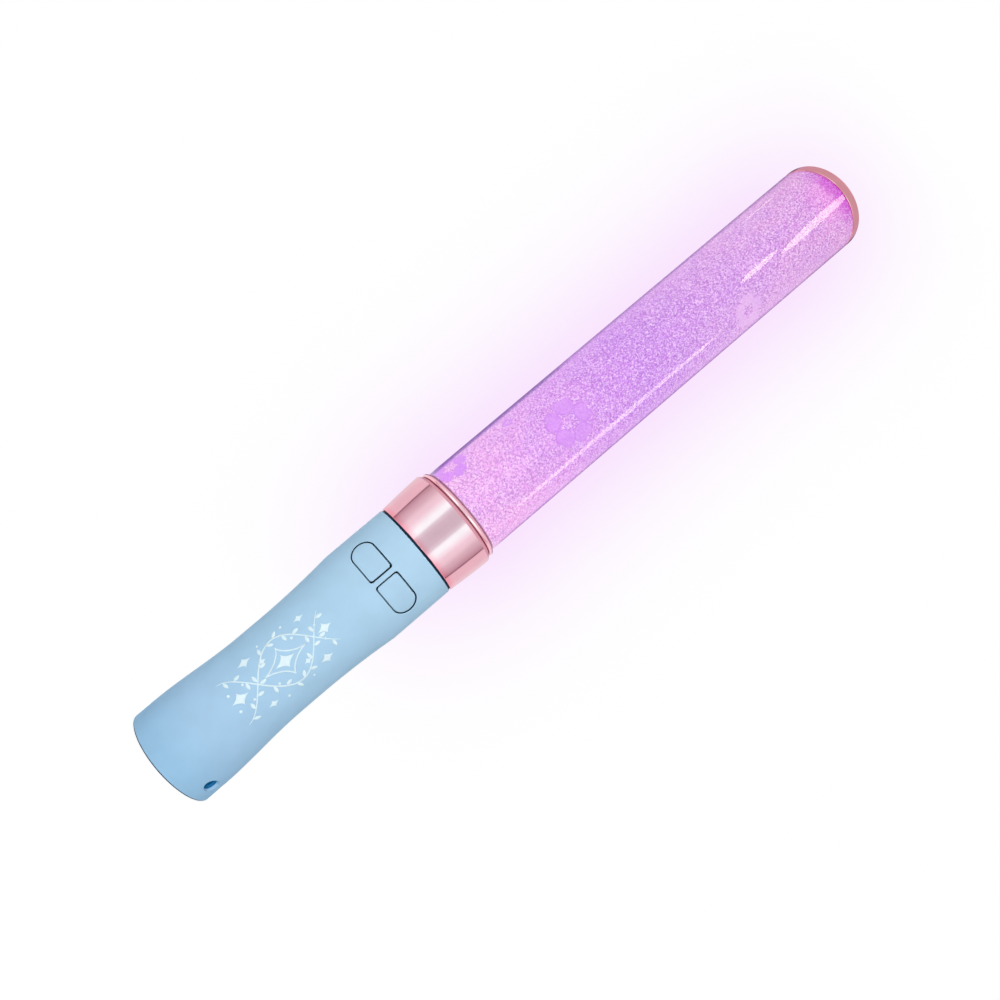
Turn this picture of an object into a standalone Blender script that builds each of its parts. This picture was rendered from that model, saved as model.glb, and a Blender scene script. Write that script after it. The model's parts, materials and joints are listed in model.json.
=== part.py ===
"""LED light stick: waisted handle with two buttons, mirror collar, and a clear tube around a film.

The stick stands on its base. The origin is the centre of the base, +Z runs along the stick and the
buttons face -Y. Lengths are in metres.
"""
import math

import bmesh
import bpy
from mathutils import Matrix, Vector

MM = 0.001

# Clearance between pieces that touch
GAP = 0.3 * MM

# Facets of round pieces
OUTER_STEPS = 48
INNER_STEPS = 32
SMALL_STEPS = 20
ARC_STEPS = 4
SHARP_ANGLE = math.radians(32)

# Cells and their holder
CELL_RADIUS = 5.2 * MM
CELL_BODY_LENGTH = 43.3 * MM
CELL_NUB_RADIUS = 1.9 * MM
CELL_NUB_LENGTH = 1.0 * MM
CELL_SPACE = 0.4 * MM
CELL_COUNT = 3
HOLDER_PLATE = 2.0 * MM
HOLDER_POST_RADIUS = 1.3 * MM
LINK_THICKNESS = 0.4 * MM
LINK_HALF_WIDTH = 3.6 * MM
SPRING_HEIGHT = 2.0 * MM
SPRING_WIRE_RADIUS = 0.25 * MM
SPRING_WIDE_RADIUS = 3.2 * MM
SPRING_NARROW_RADIUS = 1.4 * MM
SPRING_TURNS = 2.5
SPRING_POINTS_PER_TURN = 12
TERMINAL_THICKNESS = 1.5 * MM
CENTRE_TERMINAL_RADIUS = 2.4 * MM
RING_TERMINAL_RADIUS = 9.1 * MM
RING_TERMINAL_WIDTH = 2.4 * MM

# Battery cap with its bayonet lugs
CAP_RECESS = 0.5 * MM
CAP_THICKNESS = 2.5 * MM
CAP_BOSS_RADIUS = 9.0 * MM
CAP_BOSS_HEIGHT = 5.0 * MM
CAP_BOSS_WALL = 1.6 * MM
CAP_TURN = math.radians(45)
CUSHION_THICKNESS = 1.4 * MM
COIN_SLOT_LENGTH = 16.0 * MM
COIN_SLOT_WIDTH = 1.8 * MM
COIN_SLOT_DEPTH = 1.2 * MM
LUG_COUNT = 3
LUG_REACH = 1.0 * MM
LUG_WIDTH = 5.0 * MM
LUG_THICKNESS = 1.4 * MM
LIP_THICKNESS = 0.9 * MM

# Handle
BASE_STEP = 0.85 * MM
BASE_WALL = 2.42 * MM
BASE_FILLET = 0.4 * MM
FOOT_HEIGHT = 6.0 * MM
WAIST_WALL = 1.87 * MM
WAIST_LOW = 34.0 * MM
WAIST_HIGH = 41.0 * MM
NECK_LENGTH = 20.5 * MM
NECK_FILLET = 0.4 * MM
NECK_SHOULDER = 1.07 * MM
NECK_BAY_HEIGHT = 22.4 * MM
CARRIER_LEDGE = 0.85 * MM
SPIGOT_WALL = 1.3 * MM
SPIGOT_HEIGHT = 3.5 * MM
CURVE_STEPS = 7
STRAP_HOLE_RADIUS = 1.7 * MM
STRAP_HOLE_HEIGHT = 5.6 * MM
STRAP_HOLE_ANGLE = math.radians(55)
STRAP_HOLE_SPREAD = math.radians(38)

# Buttons and their windows, measured in the plane of the circuit board
WINDOW_HEIGHT = 7.5 * MM
WINDOW_BRIDGE = 1.56 * MM
WINDOW_CORNER = 0.8 * MM
WINDOW_ROUND = 2.95 * MM
WINDOW_SPAN = math.radians(49)
BUTTON_TRAVEL = 0.5 * MM
BUTTON_LIP = 0.9 * MM
BUTTON_LIP_REACH = 2.2 * MM
BUTTON_LIP_STEP = 0.4 * MM
STEM_RADIUS = 1.4 * MM
STEM_LENGTH = 1.0 * MM

# Circuit board, its carrier and the contacts
BOARD_THICKNESS = 1.6 * MM
BOARD_EDGE = 1.4 * MM
CARRIER_FLOOR = 2.1 * MM
CARRIER_ROOF = 1.5 * MM
CARRIER_BACK = 2.5 * MM
CONTACT_THICKNESS = 0.5 * MM
CONTACT_WIDTH = 2.0 * MM
CONTACT_TAB_LENGTH = 2.4 * MM
SWITCH_SIZE = 6.0 * MM
SWITCH_HEIGHT = 3.4 * MM
PLUNGER_RADIUS = 1.7 * MM
PLUNGER_REACH = 1.3 * MM
PLUNGER_DEPTH = 1.1 * MM
CHIP_WIDTH = 4.0 * MM
CHIP_DEPTH = 3.0 * MM
CHIP_THICKNESS = 1.2 * MM
CHIP_PLACE_X = 4.0 * MM
CHIP_PLACE_Z = 2.3 * MM
SCREW_RADIUS = 0.9 * MM
SCREW_HEAD_RADIUS = 1.6 * MM
SCREW_HEAD_THICKNESS = 0.8 * MM
BOARD_SCREW_INSET = 2.4 * MM

# Lamp and what carries it
SKIRT_LENGTH = 6.0 * MM
LAMP_WALL = 1.5 * MM
LAMP_SEAT_RADIUS = 8.0 * MM
LAMP_FLANGE = 2.0 * MM
LAMP_SPIGOT_HEIGHT = 7.7 * MM
LAMP_BOARD_THICKNESS = 1.6 * MM
EMITTER_SIZE = 5.0 * MM
EMITTER_HEIGHT = 0.9 * MM
EMITTER_DOME_RADIUS = 2.0 * MM
LENS_FOOT_WALL = 1.4 * MM
LENS_FLANGE = 1.5 * MM
LEAD_RADIUS = 0.55 * MM
LEAD_SPACING = 3.0 * MM
LEAD_HOLE_RADIUS = 2.8 * MM
LEAD_HOLE_OFFSET = 5.5 * MM
LEAD_POINTS = 14

# Tube, film, collar, trim ring and end cap
TUBE_RADIUS = 14.1 * MM
TUBE_WALL = 0.8 * MM
TUBE_LENGTH = 153.6 * MM
FILM_THICKNESS = 0.3 * MM
COLLAR_HEIGHT = 14.6 * MM
COLLAR_FOOT_WALL = 0.82 * MM
COLLAR_RIM_WALL = 1.35 * MM
COLLAR_FLARE_POWER = 1.5
COLLAR_CHAMFER = 0.75 * MM
COLLAR_CHAMFER_HEIGHT = 0.9 * MM
TRIM_HEIGHT = 1.6 * MM
TRIM_WIDTH = 0.6 * MM
END_CAP_HEIGHT = 2.4 * MM
END_CAP_FILLET = 0.2 * MM
END_CAP_CROWN = 0.1 * MM
PLUG_LENGTH = 2.2 * MM
REFLECTOR_THICKNESS = 0.6 * MM

# Heights of the battery stack, from the base up
CAP_TOP = CAP_RECESS + CAP_THICKNESS
BOSS_TOP = CAP_TOP + CAP_BOSS_HEIGHT
CUSHION_BOTTOM = BOSS_TOP + GAP
HOLDER_BOTTOM = CUSHION_BOTTOM + CUSHION_THICKNESS + GAP
LOWER_LINK = HOLDER_BOTTOM + HOLDER_PLATE + GAP
LOWER_SEAT = LOWER_LINK + LINK_THICKNESS + GAP
CELL_LENGTH = CELL_BODY_LENGTH + CELL_NUB_LENGTH
UPPER_LINK = LOWER_SEAT + SPRING_HEIGHT + GAP + CELL_LENGTH + GAP
HOLDER_CEILING = UPPER_LINK + LINK_THICKNESS + GAP
HOLDER_TOP = HOLDER_CEILING + HOLDER_PLATE
TERMINAL_BOTTOM = HOLDER_TOP + GAP
CONTACT_BOTTOM = TERMINAL_BOTTOM + TERMINAL_THICKNESS + GAP
BORE_STEP = CONTACT_BOTTOM + CONTACT_THICKNESS

# Heights of the neck and of the lamp
CARRIER_BOTTOM = BORE_STEP + GAP
HANDLE_HEIGHT = BORE_STEP + NECK_BAY_HEIGHT
SPIGOT_TOP = HANDLE_HEIGHT + SPIGOT_HEIGHT
FLANGE_BOTTOM = SPIGOT_TOP + GAP
FLANGE_TOP = FLANGE_BOTTOM + LAMP_FLANGE
SKIRT_BOTTOM = FLANGE_BOTTOM - SKIRT_LENGTH
CARRIER_TOP = SKIRT_BOTTOM - GAP
BOARD_BOTTOM = CARRIER_BOTTOM + CARRIER_FLOOR + GAP
BOARD_TOP = CARRIER_TOP - CARRIER_ROOF - GAP
BUTTON_HEIGHT = (BOARD_BOTTOM + BOARD_TOP) / 2
LAMP_BOARD_BOTTOM = FLANGE_TOP + GAP
LAMP_BOARD_TOP = LAMP_BOARD_BOTTOM + LAMP_BOARD_THICKNESS
LAMP_SPIGOT_TOP = FLANGE_TOP + LAMP_SPIGOT_HEIGHT
LENS_FLANGE_BOTTOM = LAMP_SPIGOT_TOP + GAP
LENS_TOP = LENS_FLANGE_BOTTOM + LENS_FLANGE
HOLDER_SCREW_HEIGHT = (HANDLE_HEIGHT + SPIGOT_TOP) / 2

# Heights of the tube and of what closes it
TUBE_BOTTOM = FLANGE_TOP + GAP
TUBE_TOP = TUBE_BOTTOM + TUBE_LENGTH
END_CAP_BOTTOM = TUBE_TOP + GAP
PLUG_BOTTOM = END_CAP_BOTTOM - PLUG_LENGTH
REFLECTOR_BOTTOM = PLUG_BOTTOM - GAP - REFLECTOR_THICKNESS
COLLAR_BOTTOM = HANDLE_HEIGHT + GAP
COLLAR_TOP = COLLAR_BOTTOM + COLLAR_HEIGHT
TRIM_BOTTOM = COLLAR_TOP + GAP

# Radii
CELL_CIRCLE = (2 * CELL_RADIUS + CELL_SPACE) / (2 * math.sin(math.pi / CELL_COUNT))
HOLDER_RADIUS = CELL_CIRCLE + CELL_RADIUS
BATTERY_BORE = HOLDER_RADIUS + GAP
BASE_BORE = BATTERY_BORE + BASE_STEP
BASE_RADIUS = BASE_BORE + BASE_WALL
WAIST_RADIUS = BATTERY_BORE + WAIST_WALL
NECK_BORE = BATTERY_BORE + CARRIER_LEDGE
SPIGOT_RADIUS = NECK_BORE + SPIGOT_WALL
NECK_RADIUS = SPIGOT_RADIUS + NECK_SHOULDER
CAP_RADIUS = BASE_BORE - GAP
LUG_RADIUS = CAP_RADIUS + LUG_REACH
GROOVE_RADIUS = LUG_RADIUS + GAP
CARRIER_RADIUS = NECK_BORE - GAP
TUBE_BORE = TUBE_RADIUS - TUBE_WALL
LAMP_SPIGOT_RADIUS = TUBE_BORE - GAP
LAMP_SPIGOT_BORE = LAMP_SPIGOT_RADIUS - LAMP_WALL
FILM_RADIUS = TUBE_BORE - GAP
PLUG_RADIUS = FILM_RADIUS - FILM_THICKNESS - GAP
COLLAR_LOWER_BORE = SPIGOT_RADIUS + GAP
COLLAR_UPPER_BORE = TUBE_RADIUS + GAP

# Depths in the neck, counted from the stick's axis towards the buttons
BOARD_FRONT = BOARD_THICKNESS
SWITCH_BACK = BOARD_FRONT + GAP
SWITCH_FRONT = SWITCH_BACK + SWITCH_HEIGHT
PLUNGER_FRONT = SWITCH_FRONT + PLUNGER_REACH
PLUNGER_BACK = SWITCH_FRONT - PLUNGER_DEPTH
STEM_BACK = PLUNGER_FRONT + GAP
BUTTON_BACK = STEM_BACK + STEM_LENGTH
WINDOW_INNER = WINDOW_BRIDGE / 2
WINDOW_OUTER = NECK_RADIUS * math.sin(WINDOW_SPAN)
SWITCH_PLACE = (WINDOW_INNER + WINDOW_OUTER) / 2
BOARD_HALF_WIDTH = NECK_BORE - BOARD_EDGE

SIDES = {"left": -1, "right": 1}


def clear_scene():
    for obj in list(bpy.data.objects):
        bpy.data.objects.remove(obj, do_unlink=True)


def new_collection(name):
    collection = bpy.data.collections.new(name)
    bpy.context.scene.collection.children.link(collection)
    return collection


clear_scene()
PARTS = new_collection("led_light_stick")
CUTTERS = new_collection("cutters")
ROOT = bpy.data.objects.new("light_stick_root", None)
PARTS.objects.link(ROOT)


def material(name, colour, roughness, metallic=0.0, alpha=1.0, glow=0.0):
    made = bpy.data.materials.new(name)
    made.use_nodes = True
    shader = made.node_tree.nodes["Principled BSDF"]
    shader.inputs["Base Color"].default_value = (*colour, 1.0)
    shader.inputs["Roughness"].default_value = roughness
    shader.inputs["Metallic"].default_value = metallic
    shader.inputs["Alpha"].default_value = alpha
    shader.inputs["Emission Color"].default_value = (*colour, 1.0)
    shader.inputs["Emission Strength"].default_value = glow
    return made


BLUE_SOFT = material("blue_soft_touch", (0.42, 0.62, 0.80), 0.6)
BLUE_BUTTON = material("blue_button", (0.42, 0.63, 0.81), 0.5)
ROSE_MIRROR = material("rose_mirror", (0.80, 0.45, 0.50), 0.08, metallic=1.0)
ROSE_SATIN = material("rose_satin", (0.85, 0.48, 0.54), 0.3, metallic=0.6)
CLEAR = material("clear_plastic", (0.95, 0.92, 1.0), 0.05, alpha=0.3)
FILM = material("glowing_film", (0.68, 0.36, 0.86), 0.4, glow=0.8)
WHITE_PLASTIC = material("white_plastic", (0.82, 0.82, 0.82), 0.45)
BLACK_PLASTIC = material("black_plastic", (0.03, 0.03, 0.035), 0.5)
FOAM = material("grey_foam", (0.20, 0.20, 0.22), 0.9)
CELL_JACKET = material("cell_jacket", (0.10, 0.20, 0.42), 0.35)
STEEL = material("steel", (0.60, 0.60, 0.62), 0.3, metallic=1.0)
BRASS = material("brass", (0.72, 0.55, 0.26), 0.3, metallic=1.0)
BOARD_GREEN = material("board_green", (0.03, 0.22, 0.10), 0.45)
BOARD_WHITE = material("board_white", (0.80, 0.80, 0.78), 0.4)
EMITTER_YELLOW = material("emitter_yellow", (0.90, 0.78, 0.30), 0.3)
LENS_CLEAR = material("lens_clear", (0.95, 0.95, 0.97), 0.04, alpha=0.35)
MIRROR = material("mirror_disc", (0.85, 0.85, 0.87), 0.05, metallic=1.0)
LEAD_RED = material("lead_red", (0.55, 0.03, 0.03), 0.5)
LEAD_BLACK = material("lead_black", (0.02, 0.02, 0.02), 0.5)


def place(name, mesh, look, location=(0, 0, 0)):
    """A sub-part: an object in the parts collection, under the root, with its own material."""
    obj = bpy.data.objects.new(name, mesh)
    obj.location = location
    obj.parent = ROOT
    mesh.materials.clear()
    mesh.materials.append(look)
    PARTS.objects.link(obj)
    return obj


def guide(name, mesh, location=(0, 0, 0)):
    """A shape that only cuts, limits or extends a sub-part."""
    obj = bpy.data.objects.new(name, mesh)
    obj.location = location
    obj.hide_render = True
    obj.display_type = "WIRE"
    CUTTERS.objects.link(obj)
    return obj


def combine(target, tool, operation):
    modifier = target.modifiers.new(tool.name, "BOOLEAN")
    modifier.solver = "EXACT"
    modifier.operation = operation
    modifier.object = tool


def mesh_of(obj):
    """The evaluated mesh of a temporary object, in world space and welded; the object is removed."""
    bpy.context.scene.collection.objects.link(obj)
    bpy.context.view_layer.update()
    evaluated = obj.evaluated_get(bpy.context.evaluated_depsgraph_get())
    mesh = bpy.data.meshes.new_from_object(evaluated)
    mesh.transform(obj.matrix_world)
    bpy.data.objects.remove(obj, do_unlink=True)
    cage = bmesh.new()
    cage.from_mesh(mesh)
    bmesh.ops.remove_doubles(cage, verts=cage.verts, dist=0.000001)
    cage.to_mesh(mesh)
    cage.free()
    return mesh


def turned(profile, steps):
    """Mesh of a turned shape. The profile of (radius, height) runs down its outer side."""
    mesh = bpy.data.meshes.new("profile")
    points = [(radius, 0, height) for radius, height in profile]
    edges = [(index, index + 1) for index in range(len(points) - 1)]
    on_axis = profile[0][0] == 0 and profile[-1][0] == 0
    if not on_axis:
        edges.append((len(points) - 1, 0))
    mesh.from_pydata(points, edges, [])
    obj = bpy.data.objects.new("turned", mesh)
    screw = obj.modifiers.new("Screw", "SCREW")
    screw.axis = "Z"
    screw.steps = steps
    screw.render_steps = steps
    screw.use_merge_vertices = True
    screw.merge_threshold = 0.000001
    return mesh_of(obj)


def ring(outer, inner, bottom, top, steps):
    return turned([(outer, top), (outer, bottom), (inner, bottom), (inner, top)], steps)


def disc(radius, bottom, top, steps):
    return turned([(0, top), (radius, top), (radius, bottom), (0, bottom)], steps)


def box(low, high):
    mesh = bpy.data.meshes.new("box")
    low = Vector(low)
    high = Vector(high)
    size = Matrix.Diagonal((*(high - low), 1))
    cage = bmesh.new()
    bmesh.ops.create_cube(cage, size=1, matrix=Matrix.Translation((low + high) / 2) @ size)
    cage.to_mesh(mesh)
    cage.free()
    return mesh


def rod(radius, start, end, steps=SMALL_STEPS):
    mesh = bpy.data.meshes.new("rod")
    start = Vector(start)
    end = Vector(end)
    turn = (end - start).to_track_quat("Z", "Y").to_matrix().to_4x4()
    cage = bmesh.new()
    bmesh.ops.create_cone(
        cage,
        cap_ends=True,
        segments=steps,
        radius1=radius,
        radius2=radius,
        depth=(end - start).length,
        matrix=Matrix.Translation((start + end) / 2) @ turn,
    )
    cage.to_mesh(mesh)
    cage.free()
    return mesh


def extruded(outline, low, high, turn):
    """Mesh of a flat outline, drawn in its own x and y, between two places along its own z."""
    curve = bpy.data.curves.new("outline", "CURVE")
    curve.dimensions = "2D"
    curve.fill_mode = "BOTH"
    curve.extrude = (high - low) / 2
    spline = curve.splines.new("POLY")
    spline.points.add(len(outline) - 1)
    spline.use_cyclic_u = True
    for point, (x, y) in zip(spline.points, outline):
        point.co = (x, y, (low + high) / 2, 1)
    obj = bpy.data.objects.new("extruded", curve)
    obj.matrix_world = turn
    return mesh_of(obj)


FLAT = Matrix.Identity(4)
# The outline's y becomes height, and its z runs towards the buttons
UPRIGHT = Matrix.Rotation(math.radians(90), 4, "X")
# The outline's x runs away from the buttons, its y becomes height, and its z runs along X
SIDEWAYS = Matrix.Rotation(math.radians(90), 4, "Z") @ UPRIGHT


def wire(points, radius):
    curve = bpy.data.curves.new("wire", "CURVE")
    curve.dimensions = "3D"
    curve.bevel_depth = radius
    curve.bevel_resolution = 1
    curve.use_fill_caps = True
    spline = curve.splines.new("POLY")
    spline.points.add(len(points) - 1)
    for point, place_at in zip(spline.points, points):
        point.co = (*place_at, 1)
    return mesh_of(bpy.data.objects.new("wire", curve))


def arc(centre, radius, start, end):
    """Points on an arc, with its ends, between two angles in degrees."""
    angles = [math.radians(start + (end - start) * step / ARC_STEPS) for step in range(ARC_STEPS + 1)]
    return [(centre[0] + radius * math.cos(a), centre[1] + radius * math.sin(a)) for a in angles]


def smooth_route(stations):
    """Points along a smooth curve through the stations of a lead."""
    stations = [Vector(station) for station in stations]
    padded = [stations[0]] + stations + [stations[-1]]
    spans = len(stations) - 1
    route = []
    for index in range(LEAD_POINTS):
        along = index / (LEAD_POINTS - 1) * spans
        span = min(int(along), spans - 1)
        t = along - span
        before, start, end, after = padded[span:span + 4]
        bend = 2 * before - 5 * start + 4 * end - after
        twist = 3 * (start - end) + after - before
        route.append(start + t * (end - before) / 2 + t * t * bend / 2 + t ** 3 * twist / 2)
    return route


def around(radius, angle, height):
    """A point at an angle counted from +X."""
    return Vector((radius * math.cos(angle), radius * math.sin(angle), height))


def cell_angle(index):
    return math.radians(90) + index * 2 * math.pi / CELL_COUNT


def lug_angle(index):
    return math.radians(90) + index * 2 * math.pi / LUG_COUNT


def handle_outline():
    """Outer side of the handle, from the collar's seat down to the base."""
    neck_start = HANDLE_HEIGHT - NECK_LENGTH
    outline = arc((NECK_RADIUS - NECK_FILLET, HANDLE_HEIGHT - NECK_FILLET), NECK_FILLET, 90, 0)
    for step in range(CURVE_STEPS + 1):
        t = 1 - step / CURVE_STEPS
        radius = WAIST_RADIUS + (NECK_RADIUS - WAIST_RADIUS) * t ** 2
        outline.append((radius, WAIST_HIGH + (neck_start - WAIST_HIGH) * t))
    for step in range(CURVE_STEPS + 1):
        t = step / CURVE_STEPS
        swell = (1 - math.cos(math.pi * t)) / 2
        radius = WAIST_RADIUS + (BASE_RADIUS - WAIST_RADIUS) * swell
        outline.append((radius, WAIST_LOW + (FOOT_HEIGHT - WAIST_LOW) * t))
    outline += arc((BASE_RADIUS - BASE_FILLET, BASE_FILLET), BASE_FILLET, 0, -90)
    return outline


def window_outline(side, inset):
    """A button's D shape: square towards the middle of the handle and round on the outside."""
    half = WINDOW_HEIGHT / 2 - inset
    depth = WINDOW_ROUND - inset
    round_start = WINDOW_OUTER - inset - depth
    inner = WINDOW_INNER + inset + WINDOW_CORNER
    corner = half - WINDOW_CORNER
    half_circle = arc((0, 0), 1, -90, 0) + arc((0, 0), 1, 0, 90)[1:]
    outline = [(round_start + depth * x, half * y) for x, y in half_circle]
    outline += arc((inner, corner), WINDOW_CORNER, 90, 180)
    outline += arc((inner, -corner), WINDOW_CORNER, 180, 270)
    outline = [(side * x, BUTTON_HEIGHT + y) for x, y in outline]
    return outline if side > 0 else outline[::-1]


def make_handle():
    lip_top = LIP_THICKNESS
    groove_top = CAP_TOP - (CAP_THICKNESS - LUG_THICKNESS) / 2 + GAP
    profile = [(SPIGOT_RADIUS, SPIGOT_TOP), (SPIGOT_RADIUS, HANDLE_HEIGHT)]
    profile += handle_outline()
    profile += [
        (BASE_BORE, 0),
        (BASE_BORE, lip_top),
        (GROOVE_RADIUS, lip_top),
        (GROOVE_RADIUS, groove_top),
        (BASE_BORE, groove_top),
        (BASE_BORE, BOSS_TOP),
        (BATTERY_BORE, BOSS_TOP),
        (BATTERY_BORE, BORE_STEP),
        (NECK_BORE, BORE_STEP),
        (NECK_BORE, SPIGOT_TOP),
    ]
    handle = place("handle_grip", turned(profile, OUTER_STEPS), BLUE_SOFT)
    for name, side in SIDES.items():
        window = extruded(window_outline(side, 0), 0, NECK_RADIUS + GAP, UPRIGHT)
        combine(handle, guide(name + "_window", window), "DIFFERENCE")
    for index in range(2):
        angle = STRAP_HOLE_ANGLE + index * STRAP_HOLE_SPREAD - math.radians(90)
        start = around(CAP_BOSS_RADIUS, angle, STRAP_HOLE_HEIGHT)
        end = around(BASE_RADIUS + GAP, angle, STRAP_HOLE_HEIGHT)
        hole = guide(f"strap_hole_{index + 1}", rod(STRAP_HOLE_RADIUS, start, end, SMALL_STEPS))
        combine(handle, hole, "DIFFERENCE")
    half = LUG_WIDTH / 2 + GAP
    for index in range(LUG_COUNT):
        notch = box((CAP_BOSS_RADIUS, -half, -GAP), (GROOVE_RADIUS, half, lip_top + GAP))
        notch.transform(Matrix.Rotation(lug_angle(index) + CAP_TURN, 4, "Z"))
        combine(handle, guide(f"lug_notch_{index + 1}", notch), "DIFFERENCE")
    for name, side in SIDES.items():
        seat = SPIGOT_RADIUS - SCREW_HEAD_THICKNESS - GAP
        start = (side * seat, 0, HOLDER_SCREW_HEIGHT)
        end = (side * (SPIGOT_RADIUS + GAP), 0, HOLDER_SCREW_HEIGHT)
        inside = (side * (NECK_BORE - GAP), 0, HOLDER_SCREW_HEIGHT)
        head = guide(name + "_screw_seat", rod(SCREW_HEAD_RADIUS + GAP / 2, start, end))
        combine(handle, head, "DIFFERENCE")
        shank = guide(name + "_screw_way", rod(SCREW_RADIUS + GAP, inside, end))
        combine(handle, shank, "DIFFERENCE")


def make_buttons():
    envelope = [(0, HANDLE_HEIGHT)] + handle_outline() + [(0, 0)]
    envelope = guide("handle_envelope", turned(envelope, OUTER_STEPS))
    bore = guide("neck_bore", disc(CARRIER_RADIUS, 0, HANDLE_HEIGHT, OUTER_STEPS))
    for name, side in SIDES.items():
        body = window_outline(side, GAP)
        body = extruded(body, BUTTON_BACK + BUTTON_LIP_STEP, NECK_RADIUS + GAP, UPRIGHT)
        button = place(name + "_button", body, BLUE_BUTTON)
        combine(button, envelope, "INTERSECT")
        half = WINDOW_HEIGHT / 2 + BUTTON_LIP
        reach = sorted((side * (WINDOW_INNER + 2 * GAP), side * (SWITCH_PLACE + BUTTON_LIP_REACH)))
        low = (reach[0], -NECK_RADIUS, BUTTON_HEIGHT - half)
        high = (reach[1], -BUTTON_BACK, BUTTON_HEIGHT + half)
        lip = guide(name + "_lip", box(low, high))
        combine(lip, bore, "INTERSECT")
        combine(button, lip, "UNION")
        start = (side * SWITCH_PLACE, -STEM_BACK, BUTTON_HEIGHT)
        end = (side * SWITCH_PLACE, -(BUTTON_BACK + BUTTON_LIP_STEP / 2), BUTTON_HEIGHT)
        combine(button, guide(name + "_stem", rod(STEM_RADIUS, start, end)), "UNION")


def make_switches():
    half = SWITCH_SIZE / 2
    for name, side in SIDES.items():
        x = side * SWITCH_PLACE
        low = (x - half, -SWITCH_FRONT, BUTTON_HEIGHT - half)
        high = (x + half, -SWITCH_BACK, BUTTON_HEIGHT + half)
        switch = place(name + "_switch", box(low, high), BLACK_PLASTIC)
        start = (x, -(PLUNGER_BACK - BUTTON_TRAVEL - GAP), BUTTON_HEIGHT)
        end = (x, -(SWITCH_FRONT + GAP), BUTTON_HEIGHT)
        well = guide(name + "_well", rod(PLUNGER_RADIUS + GAP, start, end))
        combine(switch, well, "DIFFERENCE")
        start = (x, -PLUNGER_BACK, BUTTON_HEIGHT)
        end = (x, -PLUNGER_FRONT, BUTTON_HEIGHT)
        place(name + "_plunger", rod(PLUNGER_RADIUS, start, end), WHITE_PLASTIC)


def board_screw_places():
    across = BOARD_HALF_WIDTH - BOARD_SCREW_INSET
    return {
        "lower": (-across, BOARD_BOTTOM + BOARD_SCREW_INSET),
        "upper": (across, BOARD_TOP - BOARD_SCREW_INSET),
    }


def make_screw(name, head, way, shank_length):
    """A pan-head screw whose head starts at a point and whose shank runs on along a direction."""
    head = Vector(head)
    way = Vector(way)
    neck = head + way * SCREW_HEAD_THICKNESS
    screw = place(name, rod(SCREW_HEAD_RADIUS, head, neck), STEEL)
    overlap = way * SCREW_HEAD_THICKNESS / 2
    shank = guide(name + "_shank", rod(SCREW_RADIUS, neck - overlap, neck + way * shank_length))
    combine(screw, shank, "UNION")


def make_board():
    low = (-BOARD_HALF_WIDTH, -BOARD_FRONT, BOARD_BOTTOM)
    high = (BOARD_HALF_WIDTH, 0, BOARD_TOP)
    board = place("driver_board", box(low, high), BOARD_GREEN)
    for name, (x, z) in board_screw_places().items():
        hole = rod(SCREW_RADIUS + GAP, (x, -BOARD_FRONT - GAP, z), (x, GAP, z))
        combine(board, guide("board_hole_" + name, hole), "DIFFERENCE")
        head = (x, -(SWITCH_BACK + SCREW_HEAD_THICKNESS), z)
        make_screw("board_screw_" + name, head, (0, 1, 0), BOARD_FRONT + CARRIER_BACK)
    low = (CHIP_PLACE_X - CHIP_WIDTH / 2, -SWITCH_BACK - CHIP_THICKNESS, 0)
    high = (CHIP_PLACE_X + CHIP_WIDTH / 2, -SWITCH_BACK, CHIP_DEPTH)
    height = BOARD_BOTTOM + CHIP_PLACE_Z - CHIP_DEPTH / 2
    place("controller_chip", box(low, high), BLACK_PLASTIC, (0, 0, height))


def contact_places():
    return {"centre_contact": 0.0, "side_contact": RING_TERMINAL_RADIUS}


def make_contacts():
    """Two bent strips that run along the terminals and turn up in front of the circuit board."""
    front = -(SWITCH_BACK + CONTACT_THICKNESS)
    top = BOARD_BOTTOM + CONTACT_TAB_LENGTH
    bent = [
        (CENTRE_TERMINAL_RADIUS, CONTACT_BOTTOM),
        (CENTRE_TERMINAL_RADIUS, CONTACT_BOTTOM + CONTACT_THICKNESS),
        (-SWITCH_BACK, CONTACT_BOTTOM + CONTACT_THICKNESS),
        (-SWITCH_BACK, top),
        (front, top),
        (front, CONTACT_BOTTOM),
    ]
    for name, x in contact_places().items():
        strip = extruded(bent, x - CONTACT_WIDTH / 2, x + CONTACT_WIDTH / 2, SIDEWAYS)
        place(name, strip, BRASS)


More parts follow.
